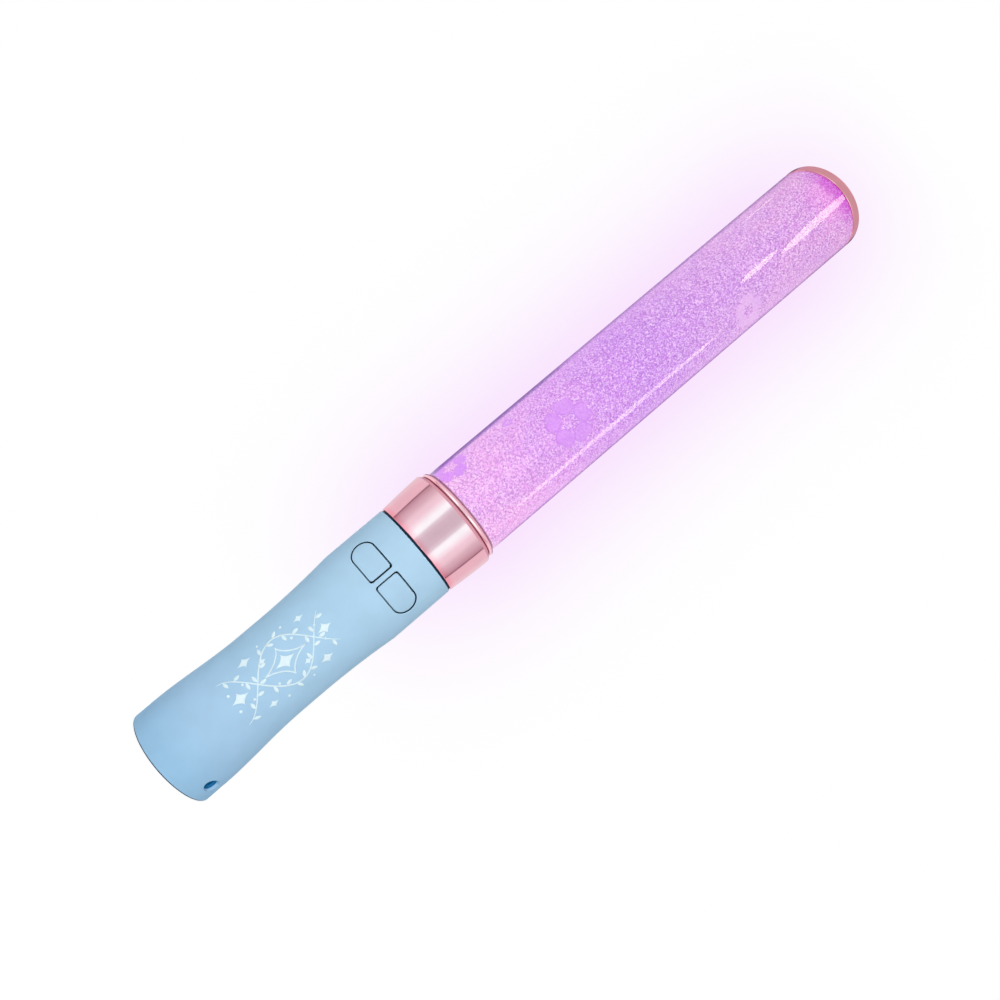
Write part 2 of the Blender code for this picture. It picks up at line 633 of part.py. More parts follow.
def make_carrier():
    floor_top = CARRIER_BOTTOM + CARRIER_FLOOR
    roof_bottom = CARRIER_TOP - CARRIER_ROOF
    floor = disc(CARRIER_RADIUS, CARRIER_BOTTOM, floor_top, INNER_STEPS)
    carrier = place("board_carrier", floor, WHITE_PLASTIC)
    back = (BOARD_HALF_WIDTH, GAP + CARRIER_BACK, roof_bottom + CARRIER_ROOF / 2)
    front = (-BOARD_HALF_WIDTH, GAP, floor_top - CARRIER_FLOOR / 2)
    combine(carrier, guide("carrier_back", box(front, back)), "UNION")
    roof = disc(CARRIER_RADIUS, roof_bottom, CARRIER_TOP, INNER_STEPS)
    combine(carrier, guide("carrier_roof", roof), "UNION")
    low = (0, -LEAD_HOLE_OFFSET, roof_bottom - GAP)
    high = (0, -LEAD_HOLE_OFFSET, CARRIER_TOP + GAP)
    combine(carrier, guide("lead_hole", rod(LEAD_HOLE_RADIUS, low, high)), "DIFFERENCE")
    for name, x in contact_places().items():
        half = CONTACT_WIDTH / 2 + GAP
        low = (x - half, -(SWITCH_BACK + CONTACT_THICKNESS + GAP), CARRIER_BOTTOM - GAP)
        high = (x + half, -(SWITCH_BACK - GAP), floor_top + GAP)
        combine(carrier, guide(name + "_slot", box(low, high)), "DIFFERENCE")
    for name, (x, z) in board_screw_places().items():
        hole = rod(SCREW_RADIUS + GAP, (x, 0, z), (x, CARRIER_BACK + 2 * GAP, z))
        combine(carrier, guide("carrier_hole_" + name, hole), "DIFFERENCE")


def make_battery_cap():
    cup = CAP_BOSS_RADIUS - CAP_BOSS_WALL
    profile = [
        (0, CAP_TOP),
        (cup, CAP_TOP),
        (cup, BOSS_TOP),
        (CAP_BOSS_RADIUS, BOSS_TOP),
        (CAP_BOSS_RADIUS, CAP_TOP),
        (CAP_RADIUS, CAP_TOP),
        (CAP_RADIUS, CAP_RECESS),
        (0, CAP_RECESS),
    ]
    cap = place("battery_cap", turned(profile, INNER_STEPS), BLUE_SOFT)
    low = (-COIN_SLOT_LENGTH / 2, -COIN_SLOT_WIDTH / 2, CAP_RECESS - GAP)
    high = (COIN_SLOT_LENGTH / 2, COIN_SLOT_WIDTH / 2, CAP_RECESS + COIN_SLOT_DEPTH)
    combine(cap, guide("coin_slot", box(low, high)), "DIFFERENCE")
    middle = CAP_TOP - CAP_THICKNESS / 2
    for index in range(LUG_COUNT):
        low = (CAP_BOSS_RADIUS, -LUG_WIDTH / 2, middle - LUG_THICKNESS / 2)
        high = (LUG_RADIUS, LUG_WIDTH / 2, middle + LUG_THICKNESS / 2)
        lug = box(low, high)
        lug.transform(Matrix.Rotation(lug_angle(index), 4, "Z"))
        combine(cap, guide(f"lug_{index + 1}", lug), "UNION")
    top = CUSHION_BOTTOM + CUSHION_THICKNESS
    place("cap_cushion", disc(CAP_BOSS_RADIUS, CUSHION_BOTTOM, top, INNER_STEPS), FOAM)


def make_holder():
    floor = disc(HOLDER_RADIUS, HOLDER_BOTTOM, HOLDER_BOTTOM + HOLDER_PLATE, INNER_STEPS)
    holder = place("battery_holder", floor, BLACK_PLASTIC)
    for index in range(CELL_COUNT):
        angle = cell_angle(index) + math.pi / CELL_COUNT
        circle = HOLDER_RADIUS - HOLDER_POST_RADIUS - GAP
        low = around(circle, angle, HOLDER_BOTTOM + HOLDER_PLATE / 2)
        high = around(circle, angle, HOLDER_TOP - HOLDER_PLATE / 2)
        post = guide(f"holder_post_{index + 1}", rod(HOLDER_POST_RADIUS, low, high))
        combine(holder, post, "UNION")
    ceiling = disc(HOLDER_RADIUS, HOLDER_CEILING, HOLDER_TOP, INNER_STEPS)
    combine(holder, guide("holder_ceiling", ceiling), "UNION")


def spring_points(centre, wide_end, narrow_end):
    """A conical coil that winds in from its seat to the cell's flat end."""
    count = int(SPRING_TURNS * SPRING_POINTS_PER_TURN)
    points = []
    for index in range(count + 1):
        t = index / count
        radius = SPRING_WIDE_RADIUS + (SPRING_NARROW_RADIUS - SPRING_WIDE_RADIUS) * t
        height = wide_end + (narrow_end - wide_end) * t
        angle = 2 * math.pi * SPRING_TURNS * t
        points.append(Vector((centre.x, centre.y, 0)) + around(radius, angle, height))
    return points


def make_cells():
    """The middle cell of the series stands on its nub, the others on their springs."""
    for index in range(CELL_COUNT):
        nub_down = index == 1
        centre = around(CELL_CIRCLE, cell_angle(index), 0)
        profile = [
            (0, CELL_LENGTH),
            (CELL_NUB_RADIUS, CELL_LENGTH),
            (CELL_NUB_RADIUS, CELL_BODY_LENGTH),
            (CELL_RADIUS, CELL_BODY_LENGTH),
            (CELL_RADIUS, 0),
            (0, 0),
        ]
        if nub_down:
            profile = [(radius, CELL_LENGTH - height) for radius, height in reversed(profile)]
        bottom = LOWER_SEAT if nub_down else LOWER_SEAT + SPRING_HEIGHT + GAP
        cell = turned(profile, SMALL_STEPS)
        place(f"cell_{index + 1}", cell, CELL_JACKET, (centre.x, centre.y, bottom))
        seat = UPPER_LINK - GAP if nub_down else LOWER_SEAT
        way = -1 if nub_down else 1
        wide_end = seat + way * SPRING_WIRE_RADIUS
        narrow_end = seat + way * (SPRING_HEIGHT - SPRING_WIRE_RADIUS)
        spring = wire(spring_points(centre, wide_end, narrow_end), SPRING_WIRE_RADIUS)
        place(f"cell_spring_{index + 1}", spring, STEEL)


def link_outline(first, second):
    """A plate with round ends under two cells."""
    first = around(CELL_CIRCLE, cell_angle(first), 0)
    second = around(CELL_CIRCLE, cell_angle(second), 0)
    heading = math.degrees(math.atan2(second.y - first.y, second.x - first.x))
    outline = arc(second, LINK_HALF_WIDTH, heading - 90, heading)
    outline += arc(second, LINK_HALF_WIDTH, heading, heading + 90)[1:]
    outline += arc(first, LINK_HALF_WIDTH, heading + 90, heading + 180)
    outline += arc(first, LINK_HALF_WIDTH, heading + 180, heading + 270)[1:]
    return outline


def make_plates():
    for name, cells, bottom in (
        ("lower_link_plate", (0, 1), LOWER_LINK),
        ("upper_link_plate", (1, 2), UPPER_LINK),
    ):
        plate = extruded(link_outline(*cells), bottom, bottom + LINK_THICKNESS, FLAT)
        place(name, plate, BRASS)
    for name, cell, bottom in (
        ("lower_end_plate", 2, LOWER_LINK),
        ("upper_end_plate", 0, UPPER_LINK),
    ):
        centre = around(CELL_CIRCLE, cell_angle(cell), 0)
        plate = disc(LINK_HALF_WIDTH, bottom, bottom + LINK_THICKNESS, SMALL_STEPS)
        place(name, plate, BRASS, centre)
    top = TERMINAL_BOTTOM + TERMINAL_THICKNESS
    centre_terminal = disc(CENTRE_TERMINAL_RADIUS, TERMINAL_BOTTOM, top, SMALL_STEPS)
    place("centre_terminal", centre_terminal, BRASS)
    outer = RING_TERMINAL_RADIUS + RING_TERMINAL_WIDTH / 2
    inner = RING_TERMINAL_RADIUS - RING_TERMINAL_WIDTH / 2
    place("ring_terminal", ring(outer, inner, TERMINAL_BOTTOM, top, INNER_STEPS), BRASS)


def make_lamp_holder():
    skirt = NECK_BORE - GAP
    profile = [
        (LAMP_SPIGOT_RADIUS, LAMP_SPIGOT_TOP),
        (LAMP_SPIGOT_RADIUS, FLANGE_TOP),
        (SPIGOT_RADIUS, FLANGE_TOP),
        (SPIGOT_RADIUS, FLANGE_BOTTOM),
        (skirt, FLANGE_BOTTOM),
        (skirt, SKIRT_BOTTOM),
        (skirt - LAMP_WALL, SKIRT_BOTTOM),
        (skirt - LAMP_WALL, FLANGE_BOTTOM),
        (LAMP_SEAT_RADIUS, FLANGE_BOTTOM),
        (LAMP_SEAT_RADIUS, FLANGE_TOP),
        (LAMP_SPIGOT_BORE, FLANGE_TOP),
        (LAMP_SPIGOT_BORE, LAMP_SPIGOT_TOP),
    ]
    holder = place("lamp_holder", turned(profile, INNER_STEPS), WHITE_PLASTIC)
    for name, side in SIDES.items():
        inner = (side * (skirt - LAMP_WALL - GAP), 0, HOLDER_SCREW_HEIGHT)
        outer = (side * NECK_BORE, 0, HOLDER_SCREW_HEIGHT)
        hole = guide(name + "_skirt_hole", rod(SCREW_RADIUS + GAP, inner, outer))
        combine(holder, hole, "DIFFERENCE")
        head = (side * SPIGOT_RADIUS, 0, HOLDER_SCREW_HEIGHT)
        length = SPIGOT_RADIUS - SCREW_HEAD_THICKNESS - (skirt - LAMP_WALL)
        make_screw("holder_screw_" + name, head, (-side, 0, 0), length)


def make_lamp():
    board = disc(LAMP_SPIGOT_BORE - GAP, LAMP_BOARD_BOTTOM, LAMP_BOARD_TOP, INNER_STEPS)
    place("lamp_board", board, BOARD_WHITE)
    half = EMITTER_SIZE / 2
    bottom = LAMP_BOARD_TOP + GAP
    base = box((-half, -half, bottom), (half, half, bottom + EMITTER_HEIGHT))
    emitter = place("lamp_emitter", base, EMITTER_YELLOW)
    centre = (0, bottom + EMITTER_HEIGHT / 2)
    dome = arc(centre, EMITTER_DOME_RADIUS, 90, 0)
    dome[0] = (0, dome[0][1])
    dome.append(centre)
    combine(emitter, guide("emitter_dome", turned(dome, SMALL_STEPS)), "UNION")
    dome_top = centre[1] + EMITTER_DOME_RADIUS
    recess = half * math.sqrt(2) + GAP
    lens = [
        (0, LENS_TOP),
        (LAMP_SPIGOT_RADIUS, LENS_TOP),
        (LAMP_SPIGOT_RADIUS, LENS_FLANGE_BOTTOM),
        (LAMP_SPIGOT_BORE - GAP, LENS_FLANGE_BOTTOM),
        (recess + LENS_FOOT_WALL, bottom),
        (recess, bottom),
        (recess, dome_top + GAP),
        (0, dome_top + GAP),
    ]
    place("condenser_lens", turned(lens, INNER_STEPS), LENS_CLEAR)


def make_leads():
    """Two wires from the circuit board, through the carrier's roof, to the lamp board."""
    board_end = BOARD_TOP - BOARD_SCREW_INSET
    front = -(SWITCH_BACK + LEAD_RADIUS)
    for name, side, look in (("red", -1, LEAD_RED), ("black", 1, LEAD_BLACK)):
        x = side * LEAD_SPACING / 2
        stations = [
            (2 * x, front, board_end),
            (1.5 * x, (front - LEAD_HOLE_OFFSET) / 2, BOARD_TOP - LEAD_RADIUS),
            (x, -LEAD_HOLE_OFFSET, CARRIER_TOP),
            (x, -LEAD_HOLE_OFFSET, (CARRIER_TOP + FLANGE_BOTTOM) / 2),
            (x, -LEAD_HOLE_OFFSET / 2, FLANGE_BOTTOM),
            (x, -LEAD_HOLE_OFFSET / 2, LAMP_BOARD_BOTTOM - GAP),
        ]
        place("lamp_lead_" + name, wire(smooth_route(stations), LEAD_RADIUS), look)


def make_tube_and_film():
    tube = ring(TUBE_RADIUS, TUBE_BORE, TUBE_BOTTOM, TUBE_TOP, OUTER_STEPS)
    place("light_tube", tube, CLEAR)
    inner = FILM_RADIUS - FILM_THICKNESS
    film = ring(FILM_RADIUS, inner, LENS_TOP + GAP, END_CAP_BOTTOM - GAP, OUTER_STEPS)
    place("film_sleeve", film, FILM)
    top = REFLECTOR_BOTTOM + REFLECTOR_THICKNESS
    place("tip_reflector", disc(PLUG_RADIUS, REFLECTOR_BOTTOM, top, OUTER_STEPS), MIRROR)


def make_collar():
    foot = COLLAR_LOWER_BORE + COLLAR_FOOT_WALL
    rim = COLLAR_UPPER_BORE + COLLAR_RIM_WALL
    flare_top = COLLAR_TOP - COLLAR_CHAMFER_HEIGHT
    step = FLANGE_TOP + GAP / 2
    profile = [(rim - COLLAR_CHAMFER, COLLAR_TOP)]
    for index in range(CURVE_STEPS + 1):
        t = 1 - index / CURVE_STEPS
        radius = foot + (rim - foot) * (1 - (1 - t) ** COLLAR_FLARE_POWER)
        profile.append((radius, COLLAR_BOTTOM + (flare_top - COLLAR_BOTTOM) * t))
    profile += [
        (COLLAR_LOWER_BORE, COLLAR_BOTTOM),
        (COLLAR_LOWER_BORE, step),
        (COLLAR_UPPER_BORE, step),
        (COLLAR_UPPER_BORE, COLLAR_TOP),
    ]
    place("collar", turned(profile, OUTER_STEPS), ROSE_MIRROR)
    top = TRIM_BOTTOM + TRIM_HEIGHT
    bead = [(COLLAR_UPPER_BORE, top)]
    for x, y in arc((0, 0), 1, 90, 0)[1:]:
        bead.append((COLLAR_UPPER_BORE + TRIM_WIDTH * x, TRIM_BOTTOM + TRIM_HEIGHT * y))
    bead.append((COLLAR_UPPER_BORE, TRIM_BOTTOM))
    place("trim_ring", turned(bead, OUTER_STEPS), ROSE_SATIN)


def make_end_cap():
    top = END_CAP_BOTTOM + END_CAP_HEIGHT
    edge = TUBE_RADIUS - END_CAP_FILLET
    profile = [(0, top)]
    profile += arc((edge, top - END_CAP_CROWN - END_CAP_FILLET), END_CAP_FILLET, 90, 0)
    profile += [
        (TUBE_RADIUS, END_CAP_BOTTOM),
        (PLUG_RADIUS, END_CAP_BOTTOM),
        (PLUG_RADIUS, PLUG_BOTTOM),
        (0, PLUG_BOTTOM),
    ]
    place("end_cap", turned(profile, OUTER_STEPS), ROSE_MIRROR)


def shade_round_pieces():
    """Apply the cuts and joins, then shade smooth across the facets of the round surfaces."""
    bpy.context.view_layer.update()
    depsgraph = bpy.context.evaluated_depsgraph_get()
    made = {}
    for obj in PARTS.objects:
        if obj.type == "MESH":
            made[obj] = bpy.data.meshes.new_from_object(obj.evaluated_get(depsgraph))
    for obj, mesh in made.items():
        obj.modifiers.clear()
        obj.data = mesh
        mesh.name = obj.name
        mesh.shade_smooth()
        mesh.set_sharp_from_angle(angle=SHARP_ANGLE)


make_handle()
make_buttons()
make_switches()
make_board()
make_contacts()
make_carrier()
make_battery_cap()
make_holder()
make_cells()
make_plates()
make_lamp_holder()
make_lamp()
make_leads()
make_tube_and_film()
make_collar()
make_end_cap()
shade_round_pieces()
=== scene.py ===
"""LED light stick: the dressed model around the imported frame."""
import json
import math

import bmesh
import bpy
from mathutils import Matrix, Vector


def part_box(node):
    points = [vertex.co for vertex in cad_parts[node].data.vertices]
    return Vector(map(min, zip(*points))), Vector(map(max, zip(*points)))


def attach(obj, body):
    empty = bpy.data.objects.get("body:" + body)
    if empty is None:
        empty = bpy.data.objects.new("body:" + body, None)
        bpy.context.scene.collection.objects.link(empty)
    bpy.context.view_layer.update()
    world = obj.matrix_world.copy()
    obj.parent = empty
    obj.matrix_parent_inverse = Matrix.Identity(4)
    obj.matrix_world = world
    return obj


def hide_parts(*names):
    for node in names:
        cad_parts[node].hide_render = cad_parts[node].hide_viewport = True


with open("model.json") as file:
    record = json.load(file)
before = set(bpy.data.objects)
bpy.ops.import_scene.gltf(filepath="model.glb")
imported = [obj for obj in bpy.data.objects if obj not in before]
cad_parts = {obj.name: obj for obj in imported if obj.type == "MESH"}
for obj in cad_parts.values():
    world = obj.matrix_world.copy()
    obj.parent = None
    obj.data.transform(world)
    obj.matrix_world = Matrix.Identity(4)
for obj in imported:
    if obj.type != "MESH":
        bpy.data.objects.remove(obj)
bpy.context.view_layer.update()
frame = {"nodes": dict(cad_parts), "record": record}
SCENE = bpy.context.scene
MM = 0.001
TURN = 2 * math.pi
QUARTER = TURN / 4
GAP = 0.3 * MM
SIDES = {"left": -1, "right": 1}

# Meshing: points round large and small shapes, and the angle from which an edge is sharp
ROUND_STEPS = 192
ROD_STEPS = 48
SHARP_ANGLE = math.radians(28)

# Handle: waisted outside, three bores inside
HANDLE_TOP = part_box("collar")[0].z - GAP
BASE_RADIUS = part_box("handle_grip")[1].x
WAIST_RADIUS = 13.605 * MM
NECK_RADIUS = 14.955 * MM
FOOT_HEIGHT = 6.0 * MM
WAIST_LOW = 34.0 * MM
WAIST_HIGH = 41.0 * MM
NECK_BOTTOM = HANDLE_TOP - 20.5 * MM
HANDLE_EDGE = 0.4 * MM
SPIGOT_RADIUS = 13.885 * MM
SPIGOT_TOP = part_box("handle_grip")[1].z
LAND_RADIUS = 14.6 * MM
LAND_HEIGHT = 0.27 * MM
BASE_BORE = 12.585 * MM
BATTERY_BORE = 11.735 * MM
NECK_BORE = 12.585 * MM
BORE_STEP = 65.2 * MM
LIP_TOP = 0.9 * MM
GROOVE_TOP = 2.75 * MM
GROOVE_RADIUS = 13.585 * MM
SCREW_WAY_RADIUS = 1.2 * MM
SCREW_SEAT_RADIUS = 1.75 * MM
SCREW_SEAT = 12.785 * MM

# Strap holes: half height, half width round, shift round and depth of each loop of a hole, in
# millimetres; then the angle of each hole from the front, with the side its mouth widens to
STRAP_HOLE_LOOPS = (
    (2.15, 2.9, 0.75, -0.3),
    (1.95, 2.6, 0.65, 0.1),
    (1.8, 2.2, 0.4, 0.7),
    (1.7, 1.7, 0.0, 1.5),
    (1.7, 1.7, 0.0, 6.0),
)
STRAP_HOLE_HEIGHT = 5.6 * MM
STRAP_HOLE_ANGLES = {math.radians(55): 1, math.radians(93): -1}

# Buttons and their windows
BUTTON_HEIGHT = (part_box("left_button")[0].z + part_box("left_button")[1].z) / 2
WINDOW_HALF = 3.75 * MM
WINDOW_INNER = 0.78 * MM
WINDOW_OUTER = 11.287 * MM
WINDOW_ROUND = 2.95 * MM
WINDOW_CORNER = 0.8 * MM
WINDOW_FLARE = 0.13 * MM
# The flare's shift makes its painted shade wider above and to the right
WINDOW_SHIFT = (0.07 * MM, 0.09 * MM)
BUTTON_BACK = 7.9 * MM
# Loops of a button's rounded edge, in millimetres in and down, and rings of its face, in shares of its size
BUTTON_EDGE = ((0, 0.4), (0.03, 0.15), (0.1, 0.05), (0.25, 0))
BUTTON_RINGS = (0.8, 0.55, 0.3)
BUTTON_LIP_HALF = 4.65 * MM
BUTTON_LIP_INNER = 1.38 * MM
BUTTON_LIP_OUTER = 8.23 * MM
BUTTON_LIP_RADIUS = 12.285 * MM
STEM_PLACE = 6.03 * MM
STEM_RADIUS = 1.4 * MM
STEM_BACK = 6.9 * MM
STEM_LENGTH = 2.0 * MM

# Battery cap
CAP_RADIUS = 12.285 * MM
CAP_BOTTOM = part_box("battery_cap")[0].z
CAP_TOP = 3.0 * MM
CAP_BOSS_RADIUS = 9.0 * MM
CAP_CUP_RADIUS = 7.5 * MM
BOSS_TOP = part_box("battery_cap")[1].z
CAP_EDGE = 0.35 * MM
COIN_SLOT = (16.0 * MM, 1.8 * MM, 1.2 * MM)
LUG_RADIUS = 13.285 * MM
LUG_WIDTH = 5.0 * MM
LUG_THICKNESS = 1.4 * MM
LUG_ANGLES = tuple(math.radians(degrees) for degrees in (90, 210, 330))
CAP_TURN = math.radians(45)

# Collar, trim ring, tube, film and end cap
COLLAR_LOW, COLLAR_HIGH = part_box("collar")
COLLAR_FOOT_RADIUS = 15.005 * MM
COLLAR_BORES = (14.185 * MM, 14.4 * MM)
COLLAR_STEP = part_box("light_tube")[0].z - GAP / 2
COLLAR_CHAMFER = 0.75 * MM
COLLAR_CHAMFER_HEIGHT = 0.9 * MM
COLLAR_EDGE = 0.12 * MM
COLLAR_SEAM = 0.17 * MM
TRIM_LOW, TRIM_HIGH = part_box("trim_ring")
TRIM_BORE = 14.4 * MM
TRIM_PLAY = 0.05 * MM
TRIM_FOOT = TRIM_LOW.z + TRIM_PLAY
BEAD_TOP = TRIM_FOOT + 1.35 * MM
TRIM_SKIRT = 2.0 * MM
TUBE_LOW, TUBE_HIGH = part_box("light_tube")
TUBE_BORE = 13.3 * MM
TUBE_EDGE = 0.1 * MM
FILM_LOW, FILM_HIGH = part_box("film_sleeve")
FILM_THICKNESS = 0.25 * MM
FILM_PRESS = 0.02 * MM
FILM_START = math.radians(176)
FILM_OVERLAP = math.radians(22)
FILM_STEP_IN = 1.1 * FILM_THICKNESS
FILM_STEP_SHARE = 0.08
END_CAP_LOW, END_CAP_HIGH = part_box("end_cap")
END_CAP_EDGE = 0.2 * MM
END_CAP_CROWN = 0.1 * MM
END_CAP_DOME = (0.5, 0.3)
PLUG_RADIUS = 12.4 * MM

# Camera, as the photograph was taken: close to the stick, level with the upper handle
CAMERA_DISTANCE = 0.2107
CAMERA_HEIGHT = 0.0716
CAMERA_PITCH = math.radians(5.55)
CAMERA_ROLL = math.radians(49.67)
CAMERA_CLIP = 0.005
FOCAL_PIXELS = 739.3
IMAGE_PIXELS = 1000
PRINCIPAL_POINT = (426.95, 540.75)
SENSOR_WIDTH = 36.0


# Mesh helpers

def arc(radius, height, size, start, end, steps=6):
    """Points of (radius, height) on an arc from start to end degrees."""
    points = []
    for step in range(steps + 1):
        angle = math.radians(start + (end - start) * step / steps)
        points.append((radius + size * math.cos(angle), height + size * math.sin(angle)))
    return points


def disc(radius, steps=20):
    """Points round a circle."""
    angles = [TURN * step / steps for step in range(steps)]
    return [(radius * math.cos(angle), radius * math.sin(angle)) for angle in angles]


def stepped(radii, heights):
    """Points of (radius, height) on a stepped outline: each radius runs from one height to the next."""
    points = []
    for index, radius in enumerate(radii):
        points += [(radius, heights[index]), (radius, heights[index + 1])]
    return points


def level_corners(left, right, front, back, height):
    """Corners of a level rectangle."""
    return [(left, front, height), (right, front, height), (right, back, height), (left, back, height)]


def bridge(cage, here, there):
    """Faces between two loops of equal length, either of which may be a single point instead."""
    for step in range(max(len(here), len(there))):
        following = step + 1
        corners = [
            here[step % len(here)],
            here[following % len(here)],
            there[following % len(there)],
            there[step % len(there)],
        ]
        corners = list(dict.fromkeys(corners))
        if len(corners) > 2:
            cage.faces.new(corners)


def turned(profile, steps=ROUND_STEPS):
    """A shape turned round Z from a closed profile of (radius, height); points on the axis become poles."""
    cage = bmesh.new()
    rings = []
    for radius, height in profile:
        circle = disc(radius, steps) if radius > 0 else [(0, 0)]
        rings.append([cage.verts.new((x, y, height)) for x, y in circle])
    for here, there in zip(rings, rings[1:] + rings[:1]):
        bridge(cage, here, there)
    bmesh.ops.recalc_face_normals(cage, faces=cage.faces)
    return cage


def lofted(loops, tip=None):
    """A closed shape through loops of points. It ends in a flat face, or in a fan round the tip."""
    cage = bmesh.new()
    rows = [[cage.verts.new(point) for point in loop] for loop in loops]
    for here, there in zip(rows, rows[1:]):
        bridge(cage, here, there)
    cage.faces.new(rows[0])
    if tip is None:
        cage.faces.new(rows[-1])
    else:
        bridge(cage, rows[-1], [cage.verts.new(tip)])
    bmesh.ops.recalc_face_normals(cage, faces=cage.faces)
    return cage


def placed(name, data):
    """A new object in the scene."""
    item = bpy.data.objects.new(name, data)
    SCENE.collection.objects.link(item)
    return item


def meshed(name, cage):
    """A new object in the scene from a shape, which is used up."""
    mesh = bpy.data.meshes.new(name)
    cage.to_mesh(mesh)
    cage.free()
    return placed(name, mesh)


def carved(cage, tools, operation="DIFFERENCE"):
    """The cage after closed tool shapes are cut out of it or joined to it."""
    holders = [meshed("carving", shape) for shape in [cage] + tools]
    for tool in holders[1:]:
        cut = holders[0].modifiers.new("cut", "BOOLEAN")
        cut.operation = operation
        cut.solver = "EXACT"
        cut.object = tool
    bpy.context.view_layer.update()
    shape = holders[0].evaluated_get(bpy.context.evaluated_depsgraph_get())
    result = bmesh.new()
    result.from_mesh(shape.to_mesh())
    for holder in holders:
        bpy.data.meshes.remove(holder.data)
    return result


def add_piece(name, cage, slot, node=None, body="stick", look=None):
    """Put a shape on a moving body of the frame, in place of a CAD node where one is named."""
    piece = meshed(name, cage)
    piece.data.shade_smooth()
    piece.data.set_sharp_from_angle(angle=SHARP_ANGLE)
    piece.data.materials.append(look or FINISHES[slot])
    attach(piece, body)
    if node:
        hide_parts(node)
    return piece


# Material helpers

# Where a noise counts as low and as high
WAVER = (0.3, 0.7)


class Nodes:
    """A node tree, with a short way to add each kind of node."""

    def __init__(self, tree):
        self.tree = tree

    def plug(self, node, sockets):
        """Give each socket a value, or a link where another node's output is given."""
        for name, value in sockets.items():
            socket = node.inputs[name]
            if isinstance(value, bpy.types.NodeSocket):
                self.tree.links.new(value, socket)
            elif socket.type == "RGBA":
                socket.default_value = (*value, 1)
            else:
                socket.default_value = value

    def add(self, kind, sockets=None, **settings):
        """A node of a kind, with its settings and what its sockets get."""
        node = self.tree.nodes.new("ShaderNode" + kind)
        for name, value in settings.items():
            setattr(node, name, value)
        self.plug(node, sockets or {})
        return node

    def calc(self, operation, first, second=0.0):
        return self.add("Math", {0: first, 1: second}, operation=operation).outputs[0]

    def times(self, first, second):
        return self.calc("MULTIPLY", first, second)

    def over(self, value, limit):
        return self.calc("GREATER_THAN", value, limit)

    def under(self, value, limit):
        return self.calc("LESS_THAN", value, limit)

    def split(self, place):
        """X, Y and Z of a place."""
        return self.add("SeparateXYZ", {0: place}).outputs

    def moved(self, place, **change):
        """A place after a Location, a Rotation and a Scale."""
        return self.add("Mapping", {"Vector": place, **change}).outputs[0]

    def scaled(self, value, low, high, to_low=0.0, to_high=1.0, kind="SMOOTHSTEP"):
        """A value taken from between low and high to between two other limits."""
        sockets = {"Value": value, "From Min": low, "From Max": high, "To Min": to_low, "To Max": to_high}
        return self.add("MapRange", sockets, interpolation_type=kind).outputs["Result"]

    def noise(self, place, scale, detail=3.0):
        sockets = {"Vector": place, "Scale": scale, "Detail": detail}
        return self.add("TexNoise", sockets).outputs["Fac"]

    def mix(self, factor, first, second, blend="MIX"):
        sockets = {"Fac": factor, "Color1": first, "Color2": second}
        return self.add("MixRGB", sockets, blend_type=blend).outputs["Color"]

    def blend(self, factor, first, second):
        """A shader mixed from two others."""
        return self.add("MixShader", {0: factor, 1: first.outputs[0], 2: second.outputs[0]})

    def ramp(self, factor, stops):
        """A colour that runs through the stops of (position, colour) as the factor grows."""
        node = self.add("ValToRGB", {"Fac": factor})
        elements = node.color_ramp.elements
        elements.remove(elements[1])
        elements[0].position = stops[0][0]
        elements[0].color = (*stops[0][1], 1)
        for position, colour in stops[1:]:
            elements.new(position).color = (*colour, 1)
        return node.outputs["Color"]

    def uneven(self, value, low, high):
        """A value between two limits that follows a noise."""
        return self.scaled(value, *WAVER, low, high)

    def shades(self, value, colour, darker, lighter):
        """A colour between two shares of itself that follows a noise."""
        dark = tuple(channel * darker for channel in colour)
        light = tuple(min(1.0, channel * lighter) for channel in colour)
        return self.ramp(value, tuple(zip(WAVER, (dark, light))))


class Look(Nodes):
    """A material: its nodes, its shader and its object coordinates."""

    def __init__(self, name):
        self.material = bpy.data.materials.new(name)
        self.material.use_nodes = True
        super().__init__(self.material.node_tree)
        self.shader = self.tree.nodes["Principled BSDF"]
        self.place = self.add("TexCoord").outputs["Object"]

    def dress(self, sockets):
        """Give the shader's sockets their values or links."""
        self.plug(self.shader, sockets)

    def bump(self, height, strength, distance=0.02 * MM):
        """Give the surface a relief."""
        sockets = {"Height": height, "Strength": strength, "Distance": distance}
        self.dress({"Normal": self.add("Bump", sockets).outputs["Normal"]})


def textured(name, colour, roughness, metallic=0.0, patch=2.5 * MM, mottle=0.06, grain=0.2 * MM, bump=0.2):
    """A material with uneven colour, uneven gloss and a fine grain in its surface."""
    look = Look(name)
    patches = look.noise(look.place, 1 / patch, detail=4.0)
    look.dress({
        "Base Color": look.shades(patches, colour, 1 - mottle, 1 + mottle),
        "Roughness": look.uneven(patches, roughness * 0.85, roughness * 1.1),
        "Metallic": metallic,
    })
    look.bump(look.noise(look.place, 1 / grain), bump)
    return look.material


# Film: its glow and its blossoms' glow up the film, by shares of its height
GLOW_STOPS = (
    (0.00, (0.97, 0.455, 0.91)),
    (0.06, (0.97, 0.445, 0.92)),
    (0.27, (0.76, 0.285, 0.91)),
    (0.45, (0.63, 0.205, 0.87)),
    (0.65, (0.705, 0.295, 0.835)),
    (0.86, (0.77, 0.335, 0.79)),
    (1.00, (0.79, 0.315, 0.76)),
)
BLOSSOM_STOPS = (
    (0.05, (0.73, 0.27, 0.93)),
    (0.27, (0.69, 0.285, 0.885)),
    (0.50, (0.70, 0.32, 0.86)),
    (0.70, (0.78, 0.45, 0.85)),
)
GLOW_STRENGTH = 0.92
UNLIT_FILM = (0.02, 0.01, 0.03)
UNLIT_SHARE = 0.86
